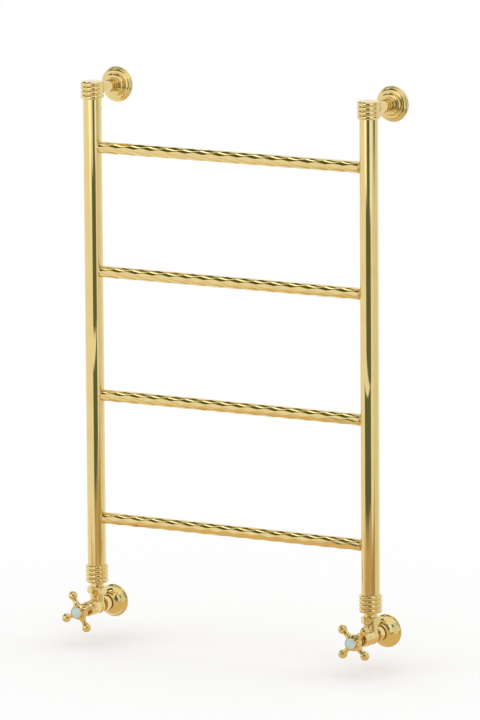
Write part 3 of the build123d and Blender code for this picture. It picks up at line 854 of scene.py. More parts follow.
@dataclass(frozen=True)
class RungSizes:
    """Sizes of the twisted rungs, in millimetres."""

    heights: tuple[float, ...] = (-99.5, -316.5, -533.5, -750.5)
    corners: int = 6
    corner_radius: float = 11.0
    corner_bevel: float = 1.5
    half_length: float = 257.95
    turn_length: float = 207.0
    spigot_radius: float = 9.326
    spigot_overlap: float = 1.0
    spigot_end: float = 263.9
    spigot_steps: int = 64
    steps: int = 360


class TwistedRung(Assembly):
    """A hexagonal bar twisted along its length, with round spigots at its ends."""

    sizes = RungSizes()

    def build(self, number: int) -> None:
        """Makes a rung.

        Args:
            number: which rung, counted from the top.
        """
        sizes = self.sizes
        place = Vector((0.0, RAIL.upright_y, sizes.heights[number - 1]))
        parts = [self._bar(place)]
        for way in (-1, 1):
            root = way * (sizes.half_length - sizes.spigot_overlap)
            spigot = Outline().to(root, 0.0).to(root, sizes.spigot_radius)
            spigot.to(way * sizes.spigot_end, sizes.spigot_radius, EDGES.eased)
            spigot.to(way * sizes.spigot_end, 0.0)
            parts.append(turned(spigot, Axis.ACROSS, place, closed=False, steps=sizes.spigot_steps))
        self.show(joined(parts), f"rung_{number}_twisted_bar", f"rung_{number}", even=False)

    def _bar(self, place: Vector) -> bmesh.types.BMesh:
        """Makes the twisted bar.

        Args:
            place: its middle, in millimetres.

        Returns:
            The mesh.
        """
        sizes = self.sizes
        length = 2 * sizes.half_length
        bar = bmesh.new()
        bmesh.ops.create_circle(bar, cap_ends=True, segments=sizes.corners, radius=sizes.corner_radius * MM)
        bmesh.ops.bevel(
            bar,
            geom=bar.verts[:],
            offset=sizes.corner_bevel * MM,
            offset_type="OFFSET",
            segments=1,
            profile=0.5,
            affect="VERTICES",
            material=-1,
        )
        bmesh.ops.delete(bar, geom=bar.faces[:], context="FACES_ONLY")
        bmesh.ops.translate(bar, vec=(0, 0, -sizes.half_length * MM), verts=bar.verts)
        bmesh.ops.spin(
            bar,
            geom=bar.verts[:] + bar.edges[:],
            cent=(0, 0, 0),
            axis=(0, 0, 1),
            dvec=(0, 0, length * MM / sizes.steps),
            angle=-2 * math.pi * length / sizes.turn_length,
            steps=sizes.steps,
            use_merge=False,
        )
        bmesh.ops.holes_fill(bar, edges=[edge for edge in bar.edges if edge.is_boundary], sides=0)
        bmesh.ops.transform(bar, matrix=Matrix.Translation(place * MM) @ Axis.ACROSS.value, verts=bar.verts)
        return tidy_mesh(bar)


@dataclass(frozen=True)
class StemSizes:
    """Sizes of a bracket's stem, in millimetres behind the upright's axis."""

    start: float = 14.6
    ring_radius: float = 12.4
    ring_end: float = 24.5
    radius: float = 11.0
    end: float = 82.0
    socket_radius: float = 8.05
    socket_floor: float = 67.5


@dataclass(frozen=True)
class RoseSizes:
    """Corners of a rose, in millimetres: distance from the wall, then radius."""

    rim_back: tuple[float, float] = (0.0, 29.0)
    rim_crest: tuple[float, float] = (3.25, 31.0)
    rim_front: tuple[float, float] = (6.5, 27.5)
    rim_chords: int = 16
    step_front: float = 9.0
    hollow: tuple[float, float] = (11.0, 23.8)
    hollow_end: tuple[float, float] = (11.0, 20.06)
    hollow_chords: int = 14
    second_front: float = 14.0
    second_hollow: tuple[float, float] = (16.0, 16.56)
    second_end: tuple[float, float] = (16.0, 13.06)
    second_chords: int = 12
    mouth: float = 21.0
    bore_radius: float = 11.06
    inside: tuple[float, float] = (14.0, 18.06)
    recess: tuple[float, float] = (8.7, 25.5)
    steps: int = 160


class WallBracket(SidedAssembly):
    """A stem with its ring, and the stepped rose that slides on it."""

    stem = StemSizes()
    rose = RoseSizes()

    def build(self) -> None:
        """Makes the stem and the rose."""
        sizes = self.stem
        stem = Outline().to(sizes.start, 0.0).to(sizes.start, sizes.ring_radius)
        stem.to(sizes.ring_end, sizes.ring_radius, EDGES.broken).to(sizes.ring_end, sizes.radius)
        stem.to(sizes.end, sizes.radius, EDGES.fine).to(sizes.end, sizes.socket_radius)
        stem.to(sizes.socket_floor, sizes.socket_radius).to(sizes.socket_floor, 0.0)
        mesh = turned(stem, Axis.WALL, RAIL.upright_axis(self.side), closed=False)
        self.fit(mesh, "ringed_stem", "bracket_stem")
        foot = Vector((self.side.value * RAIL.upright_x, 0.0, 0.0))
        self.fit(turned(self._rose(), Axis.ROOM, foot, steps=self.rose.steps), "stepped_rose", "wall_rose")

    def _rose(self) -> Outline:
        """Draws the rose.

        Returns:
            The outline, from the wall towards the room and back inside.
        """
        sizes = self.rose
        rose = Outline().to(*sizes.rim_back).arc(sizes.rim_crest, sizes.rim_front, sizes.rim_chords)
        rose.to(sizes.step_front, sizes.rim_front[1]).arc(sizes.hollow, sizes.hollow_end, sizes.hollow_chords)
        rose.to(sizes.second_front, sizes.hollow_end[1])
        rose.arc(sizes.second_hollow, sizes.second_end, sizes.second_chords)
        rose.to(sizes.mouth, sizes.second_end[1], EDGES.broken).to(sizes.mouth, sizes.bore_radius, EDGES.fine)
        rose.to(sizes.inside[0], sizes.bore_radius).to(*sizes.inside).to(sizes.recess[0], sizes.inside[1])
        return rose.to(*sizes.recess).to(sizes.rim_back[0], sizes.recess[1])


@dataclass(frozen=True)
class UnionSizes:
    """Sizes of the union above a valve, in millimetres above the valve's axis, and turns in degrees."""

    nut_low: float = 22.5
    nut_high: float = 35.3
    flats: int = 6
    flat_radius: float = 15.0
    dome_radius: float = 14.2
    dome_middle: tuple[float, float] = (0.9, 16.2)
    dome_height: float = 3.2
    dome_chords: int = 8
    nut_steps: int = 180
    thread_radius: float = 13.2
    neck_hole: float = 11.6
    flange_low: float = 31.5
    flange_top: float = 33.8
    flange_radius: float = 13.0
    neck_radius: float = 11.5
    neck_top: float = 42.8
    tail_top: float = 52.3
    tail_radius: float = 10.45
    bore_radius: float = 7.5
    left_turn: float = 30.5
    right_turn: float = 16.5


class UnionJoint(SidedAssembly):
    """The tail's neck and the union nut that joins it to the valve."""

    sizes = UnionSizes()

    def build(self) -> None:
        """Makes the neck and the nut."""
        sizes = self.sizes
        neck = Outline().to(sizes.flange_low, sizes.bore_radius).to(sizes.flange_low, sizes.flange_radius)
        neck.to(sizes.flange_top, sizes.flange_radius).to(sizes.flange_top, sizes.neck_radius)
        neck.to(sizes.neck_top, sizes.neck_radius, EDGES.fine).to(sizes.neck_top, sizes.tail_radius)
        neck.to(sizes.tail_top, sizes.tail_radius).to(sizes.tail_top, sizes.bore_radius)
        self.fit(turned(neck, Axis.UP, RAIL.valve_axis(self.side)), "tail_neck", "valve_tail")
        self.fit(self._nut(), "domed_nut", "union_nut")

    def _blank(self) -> bmesh.types.BMesh:
        """Turns the nut's round blank about the middle of the frame.

        Returns:
            The mesh.
        """
        sizes = self.sizes
        corner = sizes.flat_radius / math.cos(math.pi / sizes.flats)
        rise, middle = sizes.dome_middle
        nut = Outline().to(sizes.nut_low, sizes.thread_radius).to(sizes.nut_low, sizes.dome_radius)
        lower, upper = sizes.nut_low + sizes.dome_height, sizes.nut_high - sizes.dome_height
        nut.arc((sizes.nut_low + rise, middle), (lower, corner), sizes.dome_chords).to(upper, corner)
        nut.arc((sizes.nut_high - rise, middle), (sizes.nut_high, sizes.dome_radius), sizes.dome_chords)
        nut.to(sizes.nut_high, sizes.neck_hole, EDGES.fine).to(sizes.flange_top, sizes.neck_hole)
        nut.to(sizes.flange_top, sizes.thread_radius)
        return turned(nut, Axis.UP, Vector((0.0, 0.0, 0.0)), steps=sizes.nut_steps)

    def _nut(self) -> bmesh.types.BMesh:
        """Cuts the flats of the nut.

        Returns:
            The mesh, in place.
        """
        sizes = self.sizes
        mesh = self._blank()
        turn = sizes.left_turn if self.side is Side.LEFT else sizes.right_turn
        step = 360 / sizes.flats
        for i in range(sizes.flats):
            angle = math.radians(step / 2 + turn + step * i)
            out = Vector((math.cos(angle), math.sin(angle), 0.0))
            cut = bmesh.ops.bisect_plane(
                mesh,
                geom=mesh.verts[:] + mesh.edges[:] + mesh.faces[:],
                dist=1e-7,
                plane_co=out * sizes.flat_radius * MM,
                plane_no=out,
                clear_outer=True,
            )
            rim = [item for item in cut["geom_cut"] if isinstance(item, bmesh.types.BMEdge)]
            bmesh.ops.contextual_create(mesh, geom=rim)
            for edge in rim:
                edge.smooth = False
        bmesh.ops.translate(mesh, vec=RAIL.valve_axis(self.side) * MM, verts=mesh.verts)
        bmesh.ops.recalc_face_normals(mesh, faces=mesh.faces)
        return mesh


def hollowed(mesh: bmesh.types.BMesh, cutter: bmesh.types.BMesh) -> bmesh.types.BMesh:
    """Cuts one closed mesh out of another.

    Args:
        mesh: what is cut; it is used up.
        cutter: what is taken away; it is used up.

    Returns:
        What is left.
    """
    pair = []
    for name, part in (("whole", mesh), ("cutter", cutter)):
        data = bpy.data.meshes.new(name)
        part.to_mesh(data)
        part.free()
        pair.append(bpy.data.objects.new(name, data))
        bpy.context.scene.collection.objects.link(pair[-1])
    cut = pair[0].modifiers.new("bore", "BOOLEAN")
    cut.operation = "DIFFERENCE"
    cut.solver = "EXACT"
    cut.object = pair[1]
    left = bmesh.new()
    left.from_object(pair[0], bpy.context.evaluated_depsgraph_get())
    for item in pair:
        bpy.data.objects.remove(item)
    return left


@dataclass(frozen=True)
class CastingSizes:
    """Sizes of a valve body, in millimetres from the valve's axis; what lies towards the wall is negative."""

    ball_radius: float = 14.5
    ball_chords: int = 48
    front_radius: float = 13.0
    front_reach: float = 16.0
    outlet_radius: float = 12.4
    outlet_reach: float = 22.5
    inlet_radius: float = 10.4
    inlet_reach: float = 24.0
    overrun: float = 1.0
    pipe_socket: tuple[float, float] = (-12.5, 7.55)
    inlet_bore: float = 6.5
    seat: tuple[float, float] = (-3.0, 8.2)
    chamber: tuple[float, float] = (-4.0, 9.5)
    waterway_radius: float = 8.0
    bore_steps: int = 96
    thread_radius: float = 13.1
    thread_root: float = 0.5
    thread_top: float = 30.0
    grain: float = 0.45
    smoothing: int = 7


@dataclass(frozen=True)
class ShroudSizes:
    """Sizes of a headwork's shroud, in millimetres before the valve's axis."""

    back: float = 16.0
    back_radius: float = 13.85
    front: float = 35.8
    front_radius: float = 12.65
    mouth_radius: float = 9.4
    lip_back: float = 34.3
    bore_radius: float = 11.15
    room_front: float = 20.0
    room_radius: float = 12.35


@dataclass(frozen=True)
class GlandSizes:
    """Sizes of a compression nut and its pipe, in millimetres behind the valve's axis."""

    front: float = 14.6
    radius: float = 13.2
    shoulder: float = 26.0
    back: float = 33.0
    back_radius: float = 10.0
    dome_chords: int = 12
    pipe_hole: float = 7.55
    thread_end: float = 24.3
    thread_radius: float = 10.45
    pipe_start: float = 12.5
    pipe_end: float = 86.0
    pipe_radius: float = 7.49
    pipe_bore: float = 6.5
    pipe_steps: int = 96


class ValveBody(SidedAssembly):
    """A cast angle valve body with its shroud, compression nut and supply pipe."""

    casting = CastingSizes()
    shroud = ShroudSizes()
    gland = GlandSizes()

    def build(self) -> None:
        """Makes the body and the turned pieces round it."""
        origin = RAIL.valve_axis(self.side)
        self.fit(self._casting(origin), "cast_body", "valve_body")
        self.fit(turned(self._shroud(), Axis.ROOM, origin), "tapered_shroud", "headwork_shroud")
        self.fit(turned(self._gland(), Axis.WALL, origin), "domed_gland", "compression_nut")
        sizes = self.gland
        pipe = Outline().to(sizes.pipe_start, sizes.pipe_bore)
        pipe.to(sizes.pipe_start, sizes.pipe_radius, EDGES.crisp)
        pipe.to(sizes.pipe_end, sizes.pipe_radius, EDGES.crisp).to(sizes.pipe_end, sizes.pipe_bore)
        self.fit(turned(pipe, Axis.WALL, origin, steps=sizes.pipe_steps), "water_pipe", "supply_pipe")

    def _shroud(self) -> Outline:
        """Draws the shroud.

        Returns:
            The outline.
        """
        sizes = self.shroud
        shroud = Outline().to(sizes.back, sizes.room_radius).to(sizes.back, sizes.back_radius, EDGES.fine)
        shroud.to(sizes.front, sizes.front_radius, EDGES.broken)
        shroud.to(sizes.front, sizes.mouth_radius, EDGES.fine)
        shroud.to(sizes.lip_back, sizes.mouth_radius).to(sizes.lip_back, sizes.bore_radius)
        return shroud.to(sizes.room_front, sizes.bore_radius).to(sizes.room_front, sizes.room_radius)

    def _gland(self) -> Outline:
        """Draws the compression nut.

        Returns:
            The outline.
        """
        sizes = self.gland
        end = (sizes.back, sizes.back_radius)
        dome = bend((sizes.shoulder, sizes.radius), (1.0, 0.0), end)
        nut = Outline().to(sizes.front, sizes.thread_radius).to(sizes.front, sizes.radius, EDGES.soft)
        nut.to(sizes.shoulder, sizes.radius).arc(dome, end, sizes.dome_chords)
        nut.to(sizes.back, sizes.pipe_hole).to(sizes.thread_end, sizes.pipe_hole)
        return nut.to(sizes.thread_end, sizes.thread_radius)

    def _casting(self, origin: Vector) -> bmesh.types.BMesh:
        """Blends the body's ball and barrels and bores them.

        Args:
            origin: where the valve's axis crosses the upright's, in millimetres.

        Returns:
            The mesh.
        """
        sizes = self.casting
        ball = Outline().to(-sizes.ball_radius, 0.0)
        ball.arc((0.0, sizes.ball_radius), (sizes.ball_radius, 0.0), sizes.ball_chords)
        parts = [turned(ball, Axis.UP, origin, closed=False)]
        barrels = (
            (Axis.ROOM, sizes.front_radius, sizes.front_reach),
            (Axis.UP, sizes.outlet_radius, sizes.outlet_reach),
            (Axis.WALL, sizes.inlet_radius, sizes.inlet_reach),
        )
        for axis, radius, reach in barrels:
            barrel = Outline().to(0.0, 0.0).to(0.0, radius).to(reach, radius).to(reach, 0.0)
            parts.append(turned(barrel, axis, origin, closed=False))
        cast = self._blended(joined(parts))
        top = sizes.outlet_reach + sizes.overrun
        rising = Outline().to(0.0, 0.0).to(0.0, sizes.waterway_radius)
        rising.to(top, sizes.waterway_radius).to(top, 0.0)
        for axis, bore in ((Axis.ROOM, self._through_bore()), (Axis.UP, rising)):
            cast = hollowed(cast, turned(bore, axis, origin, closed=False, steps=sizes.bore_steps))
        low = sizes.outlet_reach - sizes.thread_root
        ring = Outline().to(low, sizes.waterway_radius).to(low, sizes.outlet_radius - sizes.thread_root)
        ring.to(sizes.outlet_reach + EDGES.fine, sizes.thread_radius, EDGES.crisp)
        ring.to(sizes.thread_top, sizes.thread_radius, EDGES.eased)
        ring.to(sizes.thread_top, sizes.waterway_radius)
        return joined([cast, turned(ring, Axis.UP, origin)])

    def _through_bore(self) -> Outline:
        """Draws the bore from the inlet, past the seat, to the chamber's open front.

        Returns:
            The outline of what is cut away.
        """
        sizes = self.casting
        back, front = -sizes.inlet_reach - sizes.overrun, sizes.front_reach + sizes.overrun
        floor, socket = sizes.pipe_socket
        bore = Outline().to(back, 0.0).to(back, socket).to(floor, socket).to(floor, sizes.inlet_bore)
        bore.to(sizes.seat[0], sizes.inlet_bore).to(*sizes.seat).to(sizes.chamber[0], sizes.seat[1])
        return bore.to(*sizes.chamber).to(front, sizes.chamber[1]).to(front, 0.0)

    def _blended(self, whole: bmesh.types.BMesh) -> bmesh.types.BMesh:
        """Melts overlapping shapes into one smooth casting.

        Args:
            whole: the shapes; they are used up.

        Returns:
            The casting.
        """
        data = bpy.data.meshes.new("casting")
        whole.to_mesh(data)
        whole.free()
        rough = bpy.data.objects.new("casting", data)
        bpy.context.scene.collection.objects.link(rough)
        remesh = rough.modifiers.new("cast", "REMESH")
        remesh.mode = "VOXEL"
        remesh.voxel_size = self.casting.grain * MM
        cast = bmesh.new()
        cast.from_object(rough, bpy.context.evaluated_depsgraph_get())
        bpy.data.objects.remove(rough)
        axes = {"use_axis_x": True, "use_axis_y": True, "use_axis_z": True}
        for _ in range(self.casting.smoothing):
            bmesh.ops.smooth_vert(cast, verts=cast.verts, factor=0.5, **axes)
        return cast


@dataclass(frozen=True)
class BellSizes:
    """Sizes of a bell escutcheon, in millimetres behind the valve's axis."""

    lip_front: float = 31.5
    lip_radius: float = 14.8
    lip_bore: float = 12.7
    web_front: float = 34.5
    web_back: float = 36.5
    shoulder: float = 49.0
    shoulder_radius: float = 25.0
    slope: float = 0.15
    rim_front: float = 53.9
    rim_radius: float = 28.6
    end: float = 57.3
    wall: float = 1.6
    pipe_bore: float = 7.58
    bell_chords: int = 20
    rim_chords: int = 14
    steps: int = 160


class BellEscutcheon(SidedAssembly):
    """The bell-shaped cover that slides on a supply pipe."""

    sizes = BellSizes()

    def build(self) -> None:
        """Makes the bell."""
        s = self.sizes
        shoulder, inside = (s.shoulder, s.shoulder_radius), (s.shoulder, s.shoulder_radius - s.wall)
        neck, neck_inside = (s.web_front, s.lip_radius), (s.web_back, s.lip_radius - s.wall)
        rim = (s.rim_front, s.rim_radius)
        forward, backward = (-1.0, -s.slope), (1.0, s.slope)
        bell = Outline().to(*shoulder).arc(bend(shoulder, forward, neck), neck, s.bell_chords)
        bell.to(s.lip_front, s.lip_radius, EDGES.full).to(s.lip_front, s.lip_bore, EDGES.soft)
        bell.to(s.web_front, s.lip_bore).to(s.web_front, s.pipe_bore)
        bell.to(s.web_back, s.pipe_bore).to(*neck_inside)
        bell.arc(bend(inside, forward, neck_inside), inside, s.bell_chords).to(s.end, inside[1], EDGES.fine)
        bell.to(s.end, s.rim_radius, EDGES.rolled).to(*rim)
        bell.arc(bend(shoulder, backward, rim), shoulder, s.rim_chords)
        mesh = turned(bell, Axis.WALL, RAIL.valve_axis(self.side), steps=s.steps)
        self.fit(mesh, "flared_bell", "bell_escutcheon")


@dataclass(frozen=True)
class ButtonSizes:
    """Sizes of an index button, in millimetres before the valve's axis."""

    back: float = 65.3
    spigot_radius: float = 4.95
    floor: float = 67.0
    radius: float = 9.4
    edge: float = 71.0
    edge_height: float = 0.8
    edge_width: float = 0.6
    edge_middle: tuple[float, float] = (0.25, 0.15)
    edge_chords: int = 5
    crown: float = 73.0
    crown_chords: int = 16
    steps: int = 96


class IndexButton(SidedAssembly):
    """The glazed, slightly domed button in the middle of a handle."""

    sizes = ButtonSizes()

    def build(self) -> None:
        """Makes the button."""
        s = self.sizes
        button = Outline().to(s.back, 0.0).to(s.back, s.spigot_radius).to(s.floor, s.spigot_radius)
        button.to(s.floor, s.radius, EDGES.crisp).to(s.edge - s.edge_height, s.radius)
        rim, crown = (s.edge, s.radius - s.edge_width), (s.crown, 0.0)
        button.arc((s.edge - s.edge_middle[0], s.radius - s.edge_middle[1]), rim, s.edge_chords)
        button.arc(bend(crown, (0.0, 1.0), rim), crown, s.crown_chords)
        mesh = turned(button, Axis.ROOM, RAIL.valve_axis(self.side), closed=False, steps=s.steps)
        self.fit(mesh, "domed_button", "index_button", "glazed_ceramic")


# Studio and camera


@dataclass(frozen=True)
class Panel:
    """A studio panel that only the polished metal sees.

    Places and lengths are in metres: to the right, towards the camera and up, from the object's middle.

    Attributes:
        name: its name.
        corner: its lower left corner.
        along: its lower edge.
        up: its left edge.
        colour: what it shows.
        soft: widths of the fading left, right, lower and upper edges, as parts of its size.
        strength: how strongly it shows its colour.
    """

    name: str
    corner: tuple[float, float, float]
    along: tuple[float, float, float]
    up: tuple[float, float, float]
    colour: Colour
    soft: tuple[float, float, float, float] = (0.1, 0.1, 0.1, 0.1)
    strength: float = 1.0


@dataclass(frozen=True)
class CameraSizes:
    """Where the camera stands.

    Attributes:
        azimuth: turn from the object's front, in degrees.
        elevation: height above the horizon, in degrees.
        roll: turn about its own axis, in degrees.
        distance: distance from the target, in millimetres.
        focal_pixels: focal length in pixels of a 480 by 720 image.
        target: what it looks at, in millimetres.
    """

    azimuth: float = 30.54
    elevation: float = 9.74
    roll: float = -0.40
    distance: float = 13000.0
    focal_pixels: float = 7577.4
    target: tuple[float, float, float] = (18.36, -86.0, -449.4)


class PhotoCamera:
    """The camera at the photograph's viewing angle."""

    def __init__(self, sizes: CameraSizes) -> None:
        """Keeps the sizes.

        Args:
            sizes: where the camera stands.
        """
        self.sizes = sizes

    def build(self) -> bpy.types.Object:
        """Makes the camera and sets it as the scene's.

        Returns:
            The camera.
        """
        sizes = self.sizes
        azimuth, elevation, roll = (math.radians(v) for v in (sizes.azimuth, sizes.elevation, sizes.roll))
        back = Vector(
            (
                math.sin(azimuth) * math.cos(elevation),
                -math.cos(azimuth) * math.cos(elevation),
                math.sin(elevation),
            )
        )
        right = Vector((math.cos(azimuth), math.sin(azimuth), 0.0))
        up = right.cross(-back)
        turned_right = math.cos(roll) * right + math.sin(roll) * up
        turned_up = -math.sin(roll) * right + math.cos(roll) * up
        data = bpy.data.cameras.new("photo_camera")
        data.sensor_fit = "AUTO"
        data.sensor_width = SENSOR_WIDTH
        data.lens = sizes.focal_pixels * SENSOR_WIDTH / IMAGE_HEIGHT
        data.clip_start, data.clip_end = 0.1, 200.0
        camera = bpy.data.objects.new("photo_camera", data)
        bpy.context.scene.collection.objects.link(camera)
        place = (Vector(sizes.target) + back * sizes.distance) * MM
        rows = [(*axis, p) for *axis, p in zip(turned_right, turned_up, back, place)]
        camera.matrix_world = Matrix((*rows, (0, 0, 0, 1)))
        bpy.context.scene.camera = camera
        return camera


class Studio:
    """Pale floor, white surroundings, cards and lamps."""

    MIDDLE = Vector((0.0, -0.086, 0.0))
    FLOOR_Z = -0.97
    FLOOR_REACH = 30.0
    DARK = (0.14, 0.165, 0.11)
    BROWN = (0.60, 0.46, 0.29)
    WHITE = (1.0, 1.0, 1.0)
    PANELS = (
        Panel(
            "right_shade", (1.9, 2.8, -2.5), (1.1, -4.0, 0.0), (0.0, 0.0, 4.5),
            (0.84, 0.86, 0.85), (0.3, 0.1, 0.1, 0.1),
        ),
        Panel(
            "upper_dark", (-0.62, 1.05, -0.62), (1.17, -0.07, 0.0), (0.0, 0.0, 0.34),
            DARK, (0.1, 0.1, 0.02, 0.15),
        ),
        Panel(
            "top_dark", (-0.22, 1.04, -0.36), (0.60, 0.0, 0.0), (0.0, 0.0, 0.9),
            DARK, (0.1, 0.1, 0.05, 0.1),
        ),
        Panel(
            "lower_dark", (-0.52, 0.47, -0.90), (1.02, 0.58, 0.0), (0.0, 0.0, 0.30),
            DARK, (0.05, 0.14, 0.3, 0.02),
        ),
        Panel(
            "low_brown", (-0.54, 0.50, -1.05), (1.16, 0.58, 0.0), (0.0, 0.0, 0.25),
            BROWN, (0.08, 0.2, 0.2, 0.3),
        ),
        Panel(
            "bell_brown", (0.30, 1.4, -1.9), (2.2, 0.0, 0.0), (0.0, 0.0, 0.94),
            (0.50, 0.36, 0.20), (0.1, 0.3, 0.1, 0.12),
        ),
        Panel(
            "bell_amber", (-2.6, 0.3, -1.6), (1.6, 1.2, 0.0), (0.0, 0.0, 0.48),
            (0.80, 0.60, 0.42), (0.2, 0.2, 0.1, 0.2),
        ),
        Panel(
            "floor_amber", (-0.8, -0.3, -1.04), (1.7, 0.0, 0.0), (0.0, 1.1, 0.0),
            (0.80, 0.63, 0.41), (0.2, 0.2, 0.1, 0.5),
        ),
        Panel(
            "top_lamp", (-2.65, 2.0, -0.70), (1.72, 0.0, 0.0), (0.0, 0.0, 1.3),
            WHITE, (0.2, 0.2, 0.3, 0.1), 1.7,
        ),
        Panel(
            "top_window", (0.42, 1.1, -0.38), (0.5, -0.05, 0.0), (0.0, 0.0, 0.9),
            (0.8, 0.92, 1.2), strength=1.3,
        ),
        Panel(
            "top_side", (1.25, 0.92, -0.36), (0.15, -0.62, 0.0), (0.0, 0.0, 0.9),
            (0.17, 0.22, 0.2), (0.15, 0.2, 0.2, 0.1),
        ),
        Panel(
            "ceiling", (-4.4, -2.4, 2.0), (4.0, 0.0, 0.0), (0.0, 4.4, 0.0),
            (0.11, 0.12, 0.06), (0.05, 0.05, 0.05, 0.05),
        ),
        Panel(
            "ceiling_lamp", (-2.5, -0.5, 1.95), (1.8, 0.0, 0.0), (0.0, 0.6, 0.0),
            WHITE, (0.2, 0.2, 0.2, 0.2), 2.2,
        ),
    )

    def __init__(self, azimuth: float) -> None:
        """Keeps the camera's azimuth.

        Args:
            azimuth: the camera's turn from the front, in degrees.
        """
        self.azimuth = azimuth

    def build(self) -> None:
        """Makes the world, floor, cards and lamps."""
        self._world()
        self._floor()
        for panel in self.PANELS:
            self._panel(panel)
        bpy.context.scene.view_settings.view_transform = "Standard"

    def _world(self) -> None:
        """Surrounds the scene with white, for lighting and for what the camera and reflections see."""
        world = bpy.data.worlds.new("studio")
        bpy.context.scene.world = world
        world.use_nodes = True
        world.node_tree.nodes.clear()
        sheet = NodeSheet(world.node_tree)
        path = sheet.add("LightPath").outputs
        seen = sheet.add("Math", {0: path["Is Camera Ray"], 1: path["Is Glossy Ray"]}, operation="MAXIMUM")
        shown = sheet.add("Math", {0: seen.outputs[0], 1: path["Is Transmission Ray"]}, operation="MAXIMUM")
        light = sheet.add("Background", {"Color": (1.0, 1.0, 1.0, 1.0), "Strength": 1.0})
        white = sheet.add("Background", {"Color": (1.0, 1.0, 1.0, 1.0), "Strength": 1.0})
        mixed = sheet.add("MixShader", {0: shown.outputs[0], 1: light.outputs[0], 2: white.outputs[0]})
        sheet.add("OutputWorld", {"Surface": mixed.outputs[0]})

    def _floor(self) -> None:
        """Lays the pale floor, which doesn't show in reflections."""
        mesh = bmesh.new()
        bmesh.ops.create_grid(mesh, x_segments=1, y_segments=1, size=self.FLOOR_REACH)
        bmesh.ops.translate(mesh, vec=(0, 0, self.FLOOR_Z), verts=mesh.verts)
        floor = self._staged(mesh, "studio_floor")
        floor.visible_glossy = False
        made, sheet, shader = new_material("pale_floor")
        shader.inputs["Roughness"].default_value = 0.9
        shader.inputs["Specular IOR Level"].default_value = 0.0
        where = sheet.add("TexCoord").outputs["Object"]
        noise = sheet.add("TexNoise", {"Vector": where, "Scale": 3.0})
        tone = sheet.add(
            "Mix",
            {0: noise.outputs["Fac"], 6: (1.0, 1.0, 1.0, 1.0), 7: (0.995, 0.995, 0.995, 1.0)},
            data_type="RGBA",
        )
        sheet.tree.links.new(tone.outputs[2], shader.inputs["Base Color"])
        floor.data.materials.append(made)

    def _staged(self, mesh: bmesh.types.BMesh, name: str) -> bpy.types.Object:
        """Turns a mesh into an object that belongs to the stage.

        Args:
            mesh: the mesh, in metres and in place; it is used up.
            name: the object's name.

        Returns:
            The object.
        """
        data = bpy.data.meshes.new(name)
        mesh.to_mesh(data)
        mesh.free()
        piece = bpy.data.objects.new(name, data)
        bpy.context.scene.collection.objects.link(piece)
        return piece

    def _placed(self, right: float, near: float, up: float) -> Vector:
        """Turns a step seen from the camera's side into the frame's axes.

        Args:
            right: the step to the right, in metres.
            near: the step towards the camera, level, in metres.
            up: the step upwards, in metres.

        Returns:
            The step.
        """
        turn = math.radians(self.azimuth)
        across = Vector((math.cos(turn), math.sin(turn), 0.0)) * right
        towards = Vector((math.sin(turn), -math.cos(turn), 0.0)) * near
        return across + towards + Vector((0.0, 0.0, up))

    def _panel(self, panel: Panel) -> None:
        """Hangs a glowing panel that fades out at its edges and lights nothing but reflections.

        Args:
            panel: its place, colour, soft edges and strength.
        """
        corner = self.MIDDLE + self._placed(*panel.corner)
        along, up = self._placed(*panel.along), self._placed(*panel.up)
        mesh = bmesh.new()
        mesh.verts.new(corner)
        grown = bmesh.ops.extrude_vert_indiv(mesh, verts=mesh.verts[:])["verts"]
        bmesh.ops.translate(mesh, vec=along, verts=grown)
        raised = bmesh.ops.extrude_edge_only(mesh, edges=mesh.edges[:])["geom"]
        tops = [item for item in raised if isinstance(item, bmesh.types.BMVert)]
        bmesh.ops.translate(mesh, vec=up, verts=tops)
        piece = self._staged(mesh, panel.name)
        piece.visible_camera = False
        piece.visible_diffuse = False
        piece.visible_shadow = False
        made = bpy.data.materials.new(panel.name)
        made.use_nodes = True
        made.node_tree.nodes.clear()
        sheet = NodeSheet(made.node_tree)
        where = sheet.add("TexCoord").outputs["Object"]
        local = sheet.add("VectorMath", {0: where, 1: corner}, operation="SUBTRACT")
        shown = None
        for edge, (near, far) in ((along, panel.soft[:2]), (up, panel.soft[2:])):
            settings = {0: local.outputs[0], 1: edge / edge.length_squared}
            across = sheet.add("VectorMath", settings, operation="DOT_PRODUCT").outputs["Value"]
            for low, high in ((0.0, near), (1.0, 1.0 - far)):
                ramp = sheet.add("MapRange", {0: across, 1: low, 2: high}, interpolation_type="SMOOTHSTEP")
                if shown is None:
                    shown = ramp
                else:
                    shown = sheet.add("Math", {0: shown.outputs[0], 1: ramp.outputs[0]}, operation="MULTIPLY")
        glow = sheet.add("Emission", {"Color": (*panel.colour, 1.0), "Strength": panel.strength})
        clear = sheet.add("BsdfTransparent")
        mixed = sheet.add("MixShader", {0: shown.outputs[0], 1: clear.outputs[0], 2: glow.outputs[0]})
        sheet.add("OutputMaterial", {"Surface": mixed.outputs[0]})
        piece.data.materials.append(made)


# The whole


def slots_by_node() -> dict[str, str]:
    """Reads each node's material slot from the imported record.

    Returns:
        Slot names by node name.
    """
    return {part["node"]: part["material_slot"] for part in frame["record"]["subparts"]}


def corners(pair: tuple[Vector, Vector]) -> list[list[float]]:
    """Turns two corners into plain lists.

    Args:
        pair: lowest and highest corner.

    Returns:
        The corners as lists of numbers.
    """
    return [[round(v, 6) for v in corner] for corner in pair]


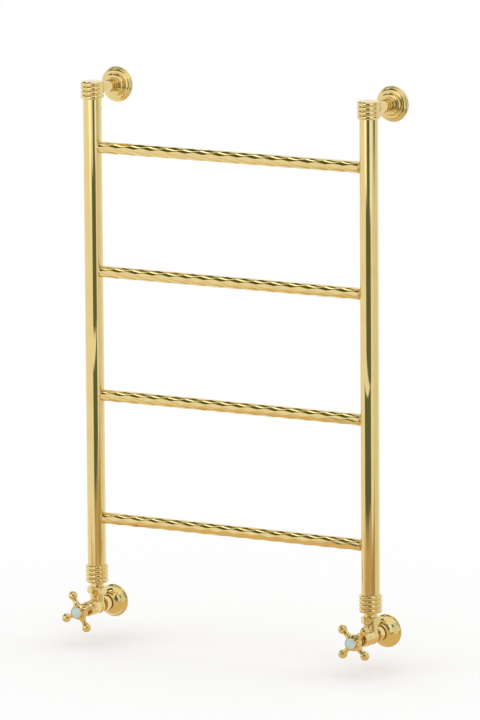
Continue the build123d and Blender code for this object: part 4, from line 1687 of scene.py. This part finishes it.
def main() -> None:
    """Dresses the frame, builds the studio and finishes the scene."""
    logging.basicConfig(level=logging.INFO, format="%(name)s: %(message)s")
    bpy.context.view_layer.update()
    sizes = CameraSizes()
    PhotoCamera(sizes).build()
    shelf = FinishShelf(FINISHES)
    shelf.dress_frame(slots_by_node())
    for number in range(1, len(TwistedRung.sizes.heights) + 1):
        TwistedRung(shelf).build(number)
    for side in Side:
        for assembly in (Upright, WallBracket, UnionJoint, ValveBody, BellEscutcheon, IndexButton):
            assembly(shelf, side).build()
    Studio(sizes.azimuth).build()


if __name__ == "__main__":
    main()
